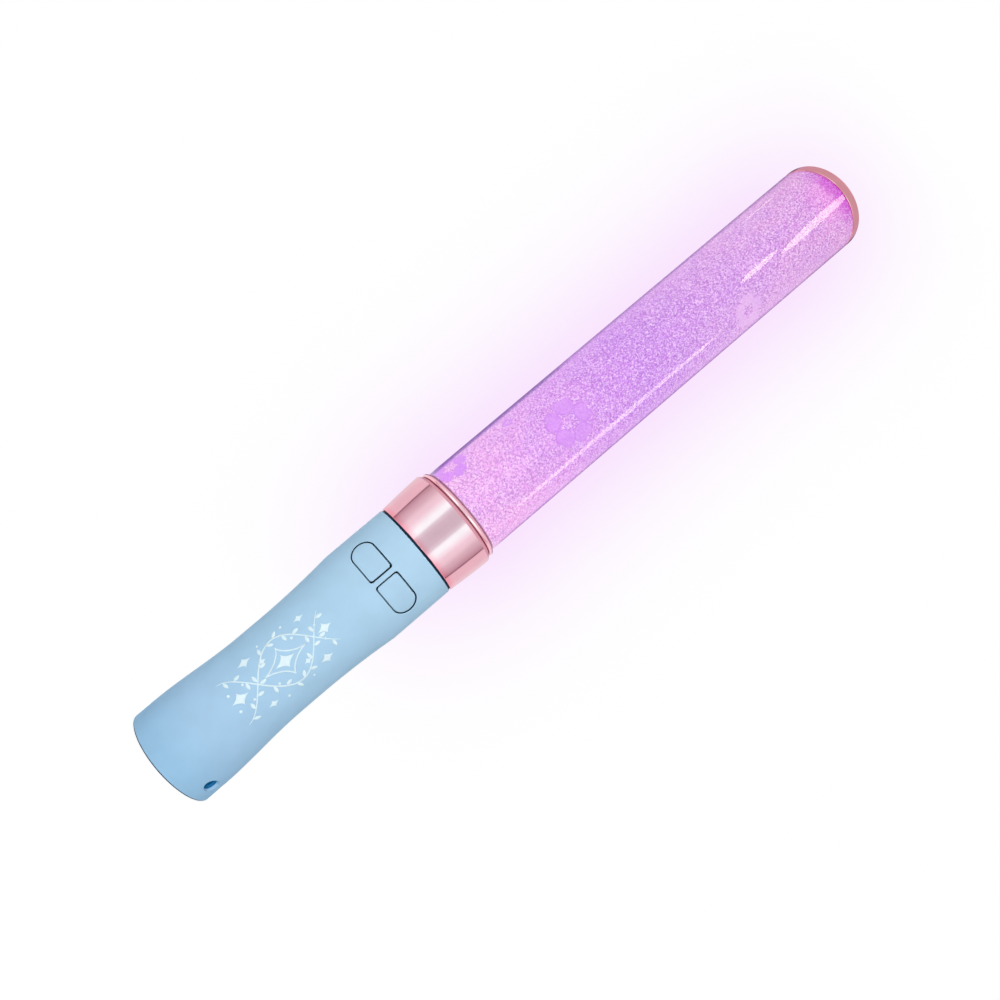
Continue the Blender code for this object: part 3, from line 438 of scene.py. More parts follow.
# Broad clouds, by limits of their noise, and a deeper band along the front, by millimetres from it
CLOUD_VIOLET = (0.58, 0.24, 0.87)
CLOUD_SCALE = 0.12
CLOUD_LIMITS = (0.35, 0.7)
CLOUD_STRENGTH = 0.3
FRONT_VIOLET = (0.50, 0.0, 0.80)
FRONT_LIMITS = (2.0, 6.0)
FRONT_STRENGTH = 0.13
# Specks: crossing rows, grains, and strokes given by their slant in radians and their offset
SPECK_LIGHT = (1.0, 0.88, 1.0)
SPECK_PALENESS = 0.6
SPECK_DARK = (0.60, 0.46, 0.66)
ROW_PITCH = 1.45
ROW_WIDTH = 2.6
ROW_DRIFT = 6.0
ROW_LIMIT = 1.6
ROW_STRENGTH = 0.5
GRAIN_SCALE = (4.4, 3.2, 1)
GRAIN_MIDDLE = 0.5
STROKES = ((0.8, 0.0), (-0.7, 31.0))
STROKE_SCALE = (2.0, 5.0, 1)
STROKE_LIMITS = (0.57, 0.70)
STROKE_STRENGTH = 0.6
# Blushes by the end cap: colour, start and full strength in millimetres below the film's top, start and
# end of its fading in millimetres from the front, and its strength before and after that
BLUSHES = (
    ((0.95, 0.24, 0.80), (13, 3), (2.5, 10.0), (0.5, 0.0)),
    ((0.58, 0.015, 0.62), (4.2, 0.8), (3.0, 11.5), (1.2, 0.15)),
)
# Lap, darkened with painted shade: its right and left edge in millimetres from the front, and the heights
# between which the painted shade gets faint
LAP_SHADE = (0.20, 0.05, 0.42)
LAP_RIGHT = (-15.0, -16.8)
LAP_LEFT = (-22.4, -21.6)
LAP_HEIGHTS = (161.0, 145.0)
LAP_FAINT = 0.16
# How much of the blushes and of the lap shows under the specks, and over them
UNDER_SPECKS = (0.8, 0.75)
OVER_SPECKS = (0.42, 0.6)
# Shade of the trim ring, by height in millimetres
FOOT_SHADE = (0.24, 0.06, 0.11)
FOOT_LIMITS = (BEAD_TOP / MM + 0.85, BEAD_TOP / MM + 0.45)


class FilmLook(Look):
    """The film's material, with places on the film laid flat: millimetres round from the front, and up."""

    def __init__(self, name):
        super().__init__(name)
        parts = self.split(self.place)
        turn = self.calc("ARCTAN2", parts["X"], self.times(parts["Y"], -1.0))
        self.round_way = self.times(turn, TUBE_BORE / MM)
        self.aside = self.calc("ABSOLUTE", self.round_way)
        self.up = self.times(parts["Z"], 1 / MM)
        self.sheet = self.add("CombineXYZ", {0: self.round_way, 1: self.up}).outputs[0]

    def strokes(self, slant, offset):
        """Short strokes across the film at a slant."""
        change = {"Location": (offset, 0, 0), "Rotation": (0, 0, slant), "Scale": STROKE_SCALE}
        return self.noise(self.moved(self.sheet, **change), scale=1.0, detail=2.0)

    def grains(self):
        """A random value for each grain of the film's fine texture."""
        packed = self.moved(self.sheet, Scale=GRAIN_SCALE)
        cells = self.add("TexVoronoi", {"Vector": packed, "Scale": 1.0, "Randomness": 1.0})
        return self.add("SeparateColor", {0: cells.outputs["Color"]}).outputs[0]

    def rows(self):
        """A fine lattice of crossing rows, from 0 to 1."""
        drift = self.times(self.noise(self.sheet, scale=0.25, detail=2.0), ROW_DRIFT)
        rise = self.calc("ADD", self.times(self.up, TURN / ROW_PITCH), drift)
        lean = self.times(self.round_way, TURN / ROW_WIDTH)
        one_way = self.calc("SINE", self.calc("ADD", rise, lean))
        other_way = self.calc("SINE", self.calc("SUBTRACT", rise, lean))
        return self.scaled(self.calc("ADD", one_way, other_way), -ROW_LIMIT, ROW_LIMIT)

    def speckled(self, glow, strength):
        """A glow broken up by rows, by dark and light grains, and by short light strokes."""
        dark = self.mix(1.0, glow, SPECK_DARK, "MULTIPLY")
        light = self.mix(SPECK_PALENESS, glow, SPECK_LIGHT)
        longest = self.calc("MAXIMUM", *[self.strokes(slant, offset) for slant, offset in STROKES])
        grain = self.grains()
        glow = self.mix(self.times(self.rows(), ROW_STRENGTH * strength), glow, dark)
        glow = self.mix(self.scaled(grain, GRAIN_MIDDLE, 0.0, 0.0, strength), glow, dark)
        glow = self.mix(self.scaled(grain, GRAIN_MIDDLE, 1.0, 0.0, strength), glow, light)
        drawn = self.scaled(longest, *STROKE_LIMITS, 0.0, STROKE_STRENGTH * strength)
        return self.mix(drawn, glow, light)

    def shaded(self, glow, blush_share, lap_share):
        """A glow turned pink and magenta by the end cap, and darkened with painted shade where the film
        laps over itself.
        """
        top = FILM_HIGH.z / MM
        for colour, (start, full), fading, (before, after) in BLUSHES:
            rising = self.scaled(self.up, top - start, top - full)
            strength = self.scaled(self.aside, *fading, before * blush_share, after * blush_share)
            glow = self.mix(self.times(rising, strength), glow, colour)
        lap = self.scaled(self.round_way, *LAP_RIGHT, 0.0, lap_share)
        lap = self.times(lap, self.scaled(self.up, *LAP_HEIGHTS, LAP_FAINT, 1.0))
        lap = self.times(lap, self.scaled(self.round_way, *LAP_LEFT))
        return self.mix(lap, glow, LAP_SHADE)


def film_look(name, stops, specks):
    """Film lit from inside: its glow runs through the stops from the lamp to the end cap."""
    film = FilmLook(name)
    span = film.scaled(film.up, FILM_LOW.z / MM, FILM_HIGH.z / MM, kind="LINEAR")
    glow = film.ramp(span, stops)
    cloud = film.scaled(film.noise(film.sheet, CLOUD_SCALE), *CLOUD_LIMITS, 0.0, CLOUD_STRENGTH)
    glow = film.mix(cloud, glow, CLOUD_VIOLET)
    glow = film.mix(film.scaled(film.aside, *FRONT_LIMITS, FRONT_STRENGTH, 0.0), glow, FRONT_VIOLET)
    glow = film.shaded(glow, *UNDER_SPECKS)
    glow = film.speckled(glow, specks)
    glow = film.shaded(glow, *OVER_SPECKS)
    glow = film.mix(film.scaled(film.up, *FOOT_LIMITS), glow, FOOT_SHADE)
    film.dress({
        "Emission Color": glow,
        "Emission Strength": GLOW_STRENGTH,
        "Base Color": film.mix(UNLIT_SHARE, glow, UNLIT_FILM),
        "Roughness": 0.4,
    })
    return film.material


# Handle paint: shares of its colour by height in millimetres, which are painted shade towards the base and
# painted light by the collar
PAINTED_SHADE_STOPS = (
    (4, (0.765, 0.86, 0.935)),
    (17, (0.89, 0.92, 0.965)),
    (36, (0.955, 0.97, 0.985)),
    (62, (1.0, 1.0, 1.0)),
    (84, (1.03, 1.015, 1.0)),
)
PAINT_GRAIN = 0.16 * MM
PAINT_RELIEF = 0.012 * MM
# Painted shade in the handle's gaps, holes and along its base edge: how far below the surface it starts,
# its colours and where it lies
GAP_SHADE_DEPTH = 0.05 * MM
HOLE_SHADE_DEPTH = 0.7 * MM
GAP_SHADE = (0.004, 0.028, 0.058)
EDGE_SHADE_HEIGHT = 0.36 * MM
HOLE_SHADE = (0.008, 0.16, 0.38)
HOLE_BOTTOM = 2.8 * MM
HOLE_TOP = 9.0 * MM


def painted_gap_shade(look, paint):
    """The paint with painted shade: near-black along the base's edge, in the windows and the seam, deep
    blue in the strap holes.
    """
    height = look.split(look.place)["Z"]
    flat = look.moved(look.place, Scale=(1, 1, 0))
    radius = look.add("VectorMath", {0: flat}, operation="LENGTH").outputs["Value"]
    in_hole = look.times(look.over(height, HOLE_BOTTOM), look.under(height, HOLE_TOP))
    in_hole = look.times(in_hole, look.under(radius, BASE_RADIUS - HOLE_SHADE_DEPTH))
    below_surface = look.under(radius, NECK_RADIUS - GAP_SHADE_DEPTH)
    in_neck = look.times(below_surface, look.over(height, NECK_BOTTOM + GAP))
    at_edge = look.times(look.under(height, EDGE_SHADE_HEIGHT), look.over(radius, BASE_RADIUS - HANDLE_EDGE))
    paint = look.mix(in_hole, paint, HOLE_SHADE)
    return look.mix(look.calc("MAXIMUM", in_neck, at_edge), paint, GAP_SHADE)


def soft_touch_look(name, colour, shade_gaps=False):
    """Rubbery matte paint, barely uneven, with a very fine grain and painted shade towards the base. It can
    have painted shade in its gaps, holes and base edge.
    """
    look = Look(name)
    patches = look.noise(look.place, scale=140.0, detail=5.0)
    paint = look.shades(patches, colour, darker=0.965, lighter=1.03)
    share = look.scaled(look.split(look.place)["Z"], 0.0, HANDLE_TOP, kind="LINEAR")
    painted_shade = look.ramp(share, [(height * MM / HANDLE_TOP, shade) for height, shade in PAINTED_SHADE_STOPS])
    paint = look.mix(1.0, paint, painted_shade, "MULTIPLY")
    if shade_gaps:
        paint = painted_gap_shade(look, paint)
    worn = look.uneven(look.noise(look.place, scale=420.0), low=0.5, high=0.64)
    look.dress({"Base Color": paint, "Roughness": worn, "Specular IOR Level": 0.12})
    look.bump(look.noise(look.place, 1 / PAINT_GRAIN), strength=0.25, distance=PAINT_RELIEF)
    return look.material


HANDLE_BLUE = (0.435, 0.64, 0.825)
ROSE = (0.82, 0.43, 0.50)
DEEP_ROSE = (0.95, 0.20, 0.28)
DEEP_SHARE = 0.5
DEEP_HEIGHT = 2.4 * MM
PALE_ROSE = (0.97, 0.565, 0.62)
CAP_ROSE = (0.83, 0.375, 0.42)
CHAMFER_PALENESS = 0.6
CHAMFER_ROUGHNESS = 0.55
GROOVE_SHADE = (0.32, 0.105, 0.15)
GROOVE_HEIGHT = 0.02 * MM
RIPPLE = 2.5 * MM
FLOW_STRETCH = (1, 1, 0.08)


def collar_detail(look, height, plating, gloss):
    """The collar is deeper in colour near the handle, and pale and satin on its chamfer."""
    foot = look.scaled(height, COLLAR_LOW.z, COLLAR_LOW.z + DEEP_HEIGHT, DEEP_SHARE, 0.0)
    chamfer = look.over(height, COLLAR_HIGH.z - COLLAR_CHAMFER_HEIGHT)
    plating = look.mix(foot, plating, DEEP_ROSE)
    plating = look.mix(look.times(chamfer, CHAMFER_PALENESS), plating, PALE_ROSE)
    return plating, look.calc("MAXIMUM", gloss, look.times(chamfer, CHAMFER_ROUGHNESS))


def bead_detail(look, height, plating, gloss):
    """The bead has painted shade at its foot and on the skirt below it, in the groove by the collar."""
    return look.mix(look.under(height, TRIM_FOOT + GROOVE_HEIGHT), plating, GROOVE_SHADE), gloss


def mirror_look(name, colour, roughness, detail=None):
    """Plated plastic: a tinted mirror with faint ripples and haze, and details by height."""
    look = Look(name)
    haze = look.noise(look.place, scale=260.0, detail=4.0)
    plating = look.shades(haze, colour, darker=0.97, lighter=1.03)
    gloss = look.uneven(haze, roughness * 0.7, roughness * 1.3)
    if detail:
        plating, gloss = detail(look, look.split(look.place)["Z"], plating, gloss)
    look.dress({"Base Color": plating, "Roughness": gloss, "Metallic": 1.0})
    look.bump(look.noise(look.place, 1 / RIPPLE), strength=0.12)
    return look.material


def clear_look(name, tint, roughness):
    """Clear moulded plastic with faint flow marks along it."""
    look = Look(name)
    marks = look.noise(look.moved(look.place, Scale=FLOW_STRETCH), scale=420.0)
    look.dress({
        "Base Color": look.shades(marks, tint, darker=0.98, lighter=1.0),
        "Roughness": look.uneven(marks, roughness * 0.6, roughness),
        "Transmission Weight": 1.0,
        "IOR": 1.49,
    })
    look.bump(marks, strength=0.004)
    return look.material


# Plain finishes of the pieces inside: colour, roughness and what else differs
PLAIN = {
    "white_plastic": ((0.78, 0.78, 0.76), 0.45, {"bump": 0.15}),
    "black_plastic": ((0.02, 0.02, 0.022), 0.5, {"mottle": 0.2}),
    "grey_foam": ((0.16, 0.16, 0.17), 0.95, {"patch": 0.8 * MM, "mottle": 0.35, "bump": 0.9}),
    "cell_jacket": ((0.03, 0.10, 0.28), 0.35, {"patch": 6 * MM, "mottle": 0.15, "bump": 0.05}),
    "steel": ((0.60, 0.61, 0.62), 0.28, {"metallic": 1.0, "grain": 0.5 * MM}),
    "brass": ((0.72, 0.52, 0.24), 0.3, {"metallic": 1.0, "grain": 0.5 * MM}),
    "board_green": ((0.02, 0.16, 0.06), 0.4, {"patch": 1.2 * MM, "mottle": 0.3}),
    "board_white": ((0.80, 0.81, 0.80), 0.4, {"patch": 1.2 * MM}),
    "emitter_yellow": ((0.85, 0.62, 0.10), 0.4, {"patch": 0.8 * MM, "mottle": 0.12}),
    "mirror_disc": ((0.88, 0.88, 0.90), 0.08, {"metallic": 1.0, "patch": 4 * MM, "bump": 0.05}),
    "lead_red": ((0.45, 0.02, 0.02), 0.45, {"mottle": 0.12}),
    "lead_black": ((0.015, 0.015, 0.016), 0.45, {"mottle": 0.2}),
}
FINISHES = {name: textured(name, colour, rough, **more) for name, (colour, rough, more) in PLAIN.items()}
FINISHES |= {
    "blue_soft_touch": soft_touch_look("blue_soft_touch", HANDLE_BLUE, shade_gaps=True),
    "blue_button": soft_touch_look("blue_button", HANDLE_BLUE),
    "rose_mirror": mirror_look("rose_mirror", ROSE, 0.07, collar_detail),
    "rose_satin": mirror_look("rose_satin", PALE_ROSE, 0.2, bead_detail),
    "clear_plastic": clear_look("clear_plastic", (1.0, 0.99, 1.0), 0.03),
    "lens_clear": clear_look("lens_clear", (1.0, 1.0, 1.0), 0.04),
    "glowing_film": film_look("glowing_film", GLOW_STOPS, specks=1.0),
}
CAP_MIRROR = mirror_look("rose_cap", CAP_ROSE, 0.16)
PLAIN_FILM = film_look("plain_film", BLOSSOM_STOPS, specks=0.25)
WHITE_INK = textured("white_ink", (0.76, 0.89, 0.95), 0.55, patch=0.7 * MM, mottle=0.04)


def dress_nodes():
    """Give every CAD node the finish of its slot."""
    for subpart in frame["record"]["subparts"]:
        for holder in frame["nodes"][subpart["node"]].material_slots:
            holder.material = FINISHES[subpart["material_slot"]]


# Handle, buttons and battery cap

def handle_radius(height):
    """Outer radius of the handle at a height."""
    if height >= NECK_BOTTOM:
        return NECK_RADIUS
    if height >= WAIST_HIGH:
        rise = (height - WAIST_HIGH) / (NECK_BOTTOM - WAIST_HIGH)
        return WAIST_RADIUS + (NECK_RADIUS - WAIST_RADIUS) * rise ** 2
    if height >= WAIST_LOW:
        return WAIST_RADIUS
    drop = min(1.0, (WAIST_LOW - height) / (WAIST_LOW - FOOT_HEIGHT))
    return WAIST_RADIUS + (BASE_RADIUS - WAIST_RADIUS) * (1 - math.cos(math.pi * drop)) / 2


def handle_profile(levels=56):
    """Closed outline of the handle: down the outside, then up through the bores."""
    profile = stepped((SPIGOT_RADIUS, LAND_RADIUS), (SPIGOT_TOP, HANDLE_TOP + LAND_HEIGHT, HANDLE_TOP))
    profile += arc(NECK_RADIUS - HANDLE_EDGE, HANDLE_TOP - HANDLE_EDGE, HANDLE_EDGE, 90, 0)
    for level in range(levels + 1):
        height = NECK_BOTTOM - (NECK_BOTTOM - FOOT_HEIGHT) * level / levels
        profile.append((handle_radius(height), height))
    profile += arc(BASE_RADIUS - HANDLE_EDGE, HANDLE_EDGE, HANDLE_EDGE, 0, -90)
    radii = (BASE_BORE, GROOVE_RADIUS, BASE_BORE, BATTERY_BORE, NECK_BORE)
    return profile + stepped(radii, (0, LIP_TOP, GROOVE_TOP, BOSS_TOP, BORE_STEP, SPIGOT_TOP))


def neck_front(across, depth=0.0):
    """How far forward the neck's surface lies at a place across it, less a depth below it."""
    return -math.sqrt(NECK_RADIUS ** 2 - across ** 2) + depth


def window_outline(side, inset, steps=12):
    """A button's D shape, square to the middle and round on the outside, smaller by an inset."""
    half = WINDOW_HALF - inset
    depth = WINDOW_ROUND - inset
    round_start = WINDOW_OUTER - inset - depth
    corner = WINDOW_INNER + inset + WINDOW_CORNER
    upright = half - WINDOW_CORNER
    outline = [(round_start + depth * x, half * y) for x, y in arc(0, 0, 1, -90, 90, 2 * steps)]
    outline += [(round_start + (corner - round_start) * step / steps, half) for step in range(1, steps)]
    outline += arc(corner, upright, WINDOW_CORNER, 90, 180)
    outline += [(WINDOW_INNER + inset, upright - 2 * upright * step / steps) for step in range(1, steps)]
    outline += arc(corner, -upright, WINDOW_CORNER, 180, 270)
    outline += [(corner + (round_start - corner) * step / steps, -half) for step in range(1, steps)]
    return [(side * x, BUTTON_HEIGHT + y) for x, y in outline]


def window_loop(side, inset, depth):
    """A window's outline wrapped on the neck's surface, at a depth below it."""
    return [(x, neck_front(x, depth), z) for x, z in window_outline(side, inset)]


def window_cutter(side):
    """The way through the neck for a button; its outer edge is softened more above and to the right."""
    aside, above = WINDOW_SHIFT
    flared = [(x + aside, z + above) for x, z in window_outline(side, -WINDOW_FLARE)]
    inner = [(x, 0, z) for x, z in window_outline(side, 0)]
    mouth = [(x, neck_front(x), z) for x, z in flared]
    outer = [(x, -NECK_RADIUS - GAP, z) for x, z in flared]
    return lofted([inner, window_loop(side, 0, WINDOW_FLARE), mouth, outer])


def strap_hole(angle, side):
    """A bore through the wall near the base; its mouth widens towards the other hole of the pair."""
    outward = Vector((math.sin(angle), -math.cos(angle), 0))
    onward = Vector((math.cos(angle), math.sin(angle), 0)) * side
    loops = []
    for half_height, half_width, shift, depth in STRAP_HOLE_LOOPS:
        centre = outward * (BASE_RADIUS - depth * MM) + onward * shift * MM
        centre.z = STRAP_HOLE_HEIGHT
        loop = []
        for x, y in disc(1.0, ROD_STEPS):
            loop.append(centre + onward * x * half_width * MM + Vector((0, 0, y * half_height * MM)))
        loops.append(loop)
    return lofted(loops)


def screw_way(side):
    """The stepped hole in the spigot for a holder screw."""
    start = SPIGOT_RADIUS + GAP
    end = NECK_BORE - GAP
    hole = stepped((SCREW_SEAT_RADIUS, SCREW_WAY_RADIUS), (start, SCREW_SEAT, end))
    way = turned([(0, start)] + hole + [(0, end)], ROD_STEPS)
    outward = Matrix.Rotation((side - 1) * QUARTER, 4, "Z") @ Matrix.Rotation(QUARTER, 4, "Y")
    way.transform(Matrix.Translation((0, 0, (HANDLE_TOP + SPIGOT_TOP) / 2)) @ outward)
    return way


def lug_block(reach, half_width, bottom, top, angle):
    """A block that reaches out from the battery cap's boss at an angle."""
    heights = (bottom, top)
    lug = lofted([level_corners(CAP_BOSS_RADIUS, reach, -half_width, half_width, z) for z in heights])
    lug.transform(Matrix.Rotation(angle, 4, "Z"))
    return lug


def make_handle():
    """Handle with windows, strap holes, screw ways, and ways in for the battery cap's lugs."""
    tools = [window_cutter(side) for side in SIDES.values()]
    tools += [strap_hole(angle, side) for angle, side in STRAP_HOLE_ANGLES.items()]
    tools += [screw_way(side) for side in SIDES.values()]
    for angle in LUG_ANGLES:
        tools.append(lug_block(GROOVE_RADIUS, LUG_WIDTH / 2 + GAP, -GAP, LIP_TOP + GAP, angle + CAP_TURN))
    shell = carved(turned(handle_profile()), tools)
    add_piece("handle_shell", shell, "blue_soft_touch", "handle_grip")


def button_body(side):
    """A button's D with a rounded edge and a face that follows the neck."""
    loops = [[(x, -BUTTON_BACK, z) for x, z in window_outline(side, GAP)]]
    for inset, depth in BUTTON_EDGE:
        loops.append(window_loop(side, GAP + inset * MM, depth * MM))
    face = loops[-1]
    middle = side * (WINDOW_INNER + WINDOW_OUTER) / 2
    for share in BUTTON_RINGS:
        ring = []
        for x, _, z in face:
            across = middle + (x - middle) * share
            ring.append((across, neck_front(across), BUTTON_HEIGHT + (z - BUTTON_HEIGHT) * share))
        loops.append(ring)
    return lofted(loops, (middle, neck_front(middle), BUTTON_HEIGHT))


def button_lip(side, steps=8):
    """The lip behind a button that keeps it in its window."""
    rows = []
    for height in (BUTTON_HEIGHT - BUTTON_LIP_HALF, BUTTON_HEIGHT + BUTTON_LIP_HALF):
        row = [(side * BUTTON_LIP_INNER, -BUTTON_BACK, height)]
        for step in range(steps + 1):
            across = BUTTON_LIP_INNER + (BUTTON_LIP_OUTER - BUTTON_LIP_INNER) * step / steps
            row.append((side * across, -math.sqrt(BUTTON_LIP_RADIUS ** 2 - across ** 2), height))
        row.append((side * BUTTON_LIP_OUTER, -BUTTON_BACK, height))
        rows.append(row)
    return lofted(rows)


def make_button(name, side):
    """A button with its lip, and a stem for its switch."""
    stem = turned([(0, 0), (STEM_RADIUS, 0), (STEM_RADIUS, STEM_LENGTH), (0, STEM_LENGTH)], ROD_STEPS)
    place = Matrix.Translation((side * STEM_PLACE, -STEM_BACK, BUTTON_HEIGHT))
    stem.transform(place @ Matrix.Rotation(QUARTER, 4, "X"))
    key = carved(button_body(side), [button_lip(side), stem], "UNION")
    add_piece(f"{name}_key_cap", key, "blue_button", f"{name}_button", f"{name}_key")


def make_battery_cap():
    """Twist-off cap: softened rim, coin slot with bevelled edges, three bayonet lugs."""
    boss = stepped((CAP_CUP_RADIUS, CAP_BOSS_RADIUS), (CAP_TOP, BOSS_TOP, CAP_TOP))
    profile = [(0, CAP_TOP)] + boss + [(CAP_RADIUS, CAP_TOP)]
    profile += arc(CAP_RADIUS - CAP_EDGE, CAP_BOTTOM + CAP_EDGE, CAP_EDGE, 0, -90)
    profile.append((0, CAP_BOTTOM))
    middle = (CAP_TOP + CAP_BOTTOM) / 2
    low, high = middle - LUG_THICKNESS / 2, middle + LUG_THICKNESS / 2
    lugs = [lug_block(LUG_RADIUS, LUG_WIDTH / 2, low, high, angle) for angle in LUG_ANGLES]
    cap = carved(turned(profile), lugs, "UNION")
    length, width, depth = COIN_SLOT
    loops = []
    for height, bevel in ((depth, 0), (CAP_EDGE, 0), (0, CAP_EDGE), (-CAP_EDGE, CAP_EDGE)):
        x, y = length / 2 + bevel, width / 2 + bevel
        loops.append(level_corners(-x, x, -y, y, CAP_BOTTOM + height))
    cap = carved(cap, [lofted(loops)])
    add_piece("twist_cap", cap, "blue_soft_touch", "battery_cap", "base_cap", FINISHES["blue_button"])


# Collar, trim ring, tube, film and end cap

def make_collar(levels=24, power=1.5):
    """Flared ring with a chamfered rim and crisp, barely rounded edges."""
    bottom, top, rim = COLLAR_LOW.z + COLLAR_SEAM, COLLAR_HIGH.z, COLLAR_HIGH.x
    flare_top = top - COLLAR_CHAMFER_HEIGHT
    profile = [(rim - COLLAR_CHAMFER - COLLAR_EDGE, top), (rim - COLLAR_CHAMFER, top - COLLAR_EDGE)]
    for level in range(levels + 1):
        rise = 1 - level / levels
        radius = COLLAR_FOOT_RADIUS + (rim - COLLAR_FOOT_RADIUS) * (1 - (1 - rise) ** power)
        profile.append((radius, bottom + COLLAR_EDGE + (flare_top - bottom - COLLAR_EDGE) * rise))
    profile.append((COLLAR_FOOT_RADIUS - COLLAR_EDGE, bottom))
    profile += stepped(COLLAR_BORES, (bottom, COLLAR_STEP, top))
    add_piece("collar_ring", turned(profile), "rose_mirror", "collar")


def make_trim_ring():
    """Bead that fills the corner between the collar and the tube, with a skirt inside the collar."""
    width = TRIM_HIGH.x - TRIM_BORE
    half = (BEAD_TOP - TRIM_FOOT) / 2
    middle = TRIM_FOOT + half
    profile = [(TRIM_BORE + width * x, middle + half * y) for x, y in arc(0, 0, 1, 90, -90, 20)]
    skirt = (TRIM_BORE - TRIM_PLAY, TUBE_HIGH.x + TRIM_PLAY)
    profile += stepped(skirt, (TRIM_FOOT, TRIM_LOW.z - TRIM_SKIRT, BEAD_TOP))
    add_piece("trim_bead", turned(profile), "rose_satin", "trim_ring")


def make_tube():
    """Clear tube with eased ends."""
    outer, bottom, top = TUBE_HIGH.x, TUBE_LOW.z, TUBE_HIGH.z
    profile = [(TUBE_BORE, top), (outer - TUBE_EDGE, top), (outer, top - TUBE_EDGE)]
    profile += [(outer, bottom + TUBE_EDGE), (outer - TUBE_EDGE, bottom), (TUBE_BORE, bottom)]
    return add_piece("clear_tube", turned(profile), "clear_plastic", "light_tube")


def make_film(steps=240):
    """Rolled sheet, pressed a hair into the tube's bore; its end steps in and runs under its start."""
    lap_start = TURN / (TURN + FILM_OVERLAP)
    step_start = lap_start - FILM_STEP_SHARE
    rows = []
    for step in range(steps + 1):
        share = step / steps
        angle = FILM_START + (TURN + FILM_OVERLAP) * share
        inward = min(1.0, max(0.0, (share - step_start) / (lap_start - step_start)))
        radius = TUBE_BORE + FILM_PRESS - FILM_STEP_IN * inward
        row = []
        for reach, height in ((0, FILM_LOW.z), (0, FILM_HIGH.z), (1, FILM_HIGH.z), (1, FILM_LOW.z)):
            place = radius - reach * FILM_THICKNESS
            row.append((place * math.cos(angle), place * math.sin(angle), height))
        rows.append(row)
    add_piece("film_roll", lofted(rows), "glowing_film", "film_sleeve")


def make_end_cap():
    """Plated cap with a rounded edge, a slightly domed top and a plug in the film."""
    top, edge, flange = END_CAP_HIGH.z, END_CAP_HIGH.x, TUBE_HIGH.z + GAP
    profile = [(0, top), (edge * END_CAP_DOME[0], top - END_CAP_CROWN * END_CAP_DOME[1])]
    profile += arc(edge - END_CAP_EDGE, top - END_CAP_CROWN - END_CAP_EDGE, END_CAP_EDGE, 90, 0)
    profile += [(edge, flange + TUBE_EDGE), (edge - TUBE_EDGE, flange)]
    profile += [(PLUG_RADIUS, flange), (PLUG_RADIUS, END_CAP_LOW.z), (0, END_CAP_LOW.z)]
    add_piece("tip_cap", turned(profile), "rose_mirror", "end_cap", look=CAP_MIRROR)


# Printed designs, thin shapes that hug the surface they are on

INK_LIFT = 0.03 * MM
INK_THICKNESS = 0.05 * MM
BLOSSOM_LIFT = 0.05 * MM
BLOSSOM_THICKNESS = 0.02 * MM
# Handle design, in millimetres: (round from the front, height, half length, half width) of each sparkle
# and (round, height, radius) of each dot
OPEN_SPARKLE = (0.0, 41.9, 6.8, 4.4)
OUTLINE_WIDTH = 0.36
SPARKLES = (
    (0.0, 41.9, 3.4, 2.1),
    (0.0, 27.0, 2.8, 1.9),
    (0.0, 55.2, 2.4, 1.6),
    (-7.0, 33.2, 2.3, 1.5),
    (6.9, 32.4, 1.7, 1.1),
    (-6.7, 51.4, 1.7, 1.1),
    (6.8, 50.6, 2.2, 1.5),
    (-3.9, 37.2, 1.3, 0.9),
    (3.9, 46.4, 1.3, 0.9),
)
DOTS = (
    (3.6, 37.0, 0.4),
    (-3.6, 46.9, 0.4),
    (8.2, 36.6, 0.4),
    (-8.3, 38.4, 0.32),
    (-8.2, 46.2, 0.4),
    (8.3, 45.0, 0.32),
    (2.5, 29.6, 0.35),
    (-2.5, 29.6, 0.35),
    (2.3, 53.6, 0.32),
    (-2.3, 53.6, 0.32),
    (-2.6, 25.0, 0.4),
    (2.6, 25.0, 0.4),
)
# Vines, in millimetres, with the share of a wave at which each starts
VINE_PHASES = (0.02, 0.52)
VINE_SWING = 7.0
VINE_WIDTH = 0.42
VINE_LOW = 24.0
VINE_HIGH = 56.5
VINE_WAVES = 0.86
LEAF_COUNT = 13
LEAF_FIRST = 0.7
LEAF_SPARE = 0.4
LEAF_SIZE = (2.1, 0.95)
LEAF_LEAN = math.radians(48)
LEAF_REACH = 0.58
# Blossoms of the film: (round from the front, height, radius) in millimetres
BLOSSOMS = (
    (0.5, 142.0, 7.2),
    (-13.0, 109.5, 5.5),
    (10.2, 205.0, 5.2),
    (-11.8, 130.0, 1.6),
    (24.0, 126.0, 6.4),
    (-38.0, 150.0, 5.6),
    (36.0, 196.0, 6.8),
    (31.0, 170.0, 5.8),
    (-36.0, 216.0, 6.0),
    (22.0, 228.0, 5.4),
)
BLOSSOM_TURN = 0.3
BLOSSOM_TURN_STEP = 1.3
PETAL_COUNT = 5
PETAL_PLACE = 0.6


def wrapped(radius, across, height):
    """A place on an upright cylinder, by millimetres round from the front and up."""
    angle = across * MM / radius
    return radius * math.sin(angle), -radius * math.cos(angle), height * MM


def on_handle(across, height):
    """A place just above the handle's surface."""
    return wrapped(handle_radius(height * MM) + INK_LIFT, across, height)


def on_film(across, height):
    """A place just above the film's surface."""
    return wrapped(TUBE_BORE + BLOSSOM_LIFT, across, height)


def add_patch(cage, wrap, centre, outline, rings=5):
    """A filled shape wrapped on a surface; the outline is given around its centre."""
    inner = [cage.verts.new(wrap(*centre))]
    for ring in range(1, rings + 1):
        share = ring / rings
        loop = [cage.verts.new(wrap(centre[0] + x * share, centre[1] + y * share)) for x, y in outline]
        bridge(cage, loop, inner)
        inner = loop


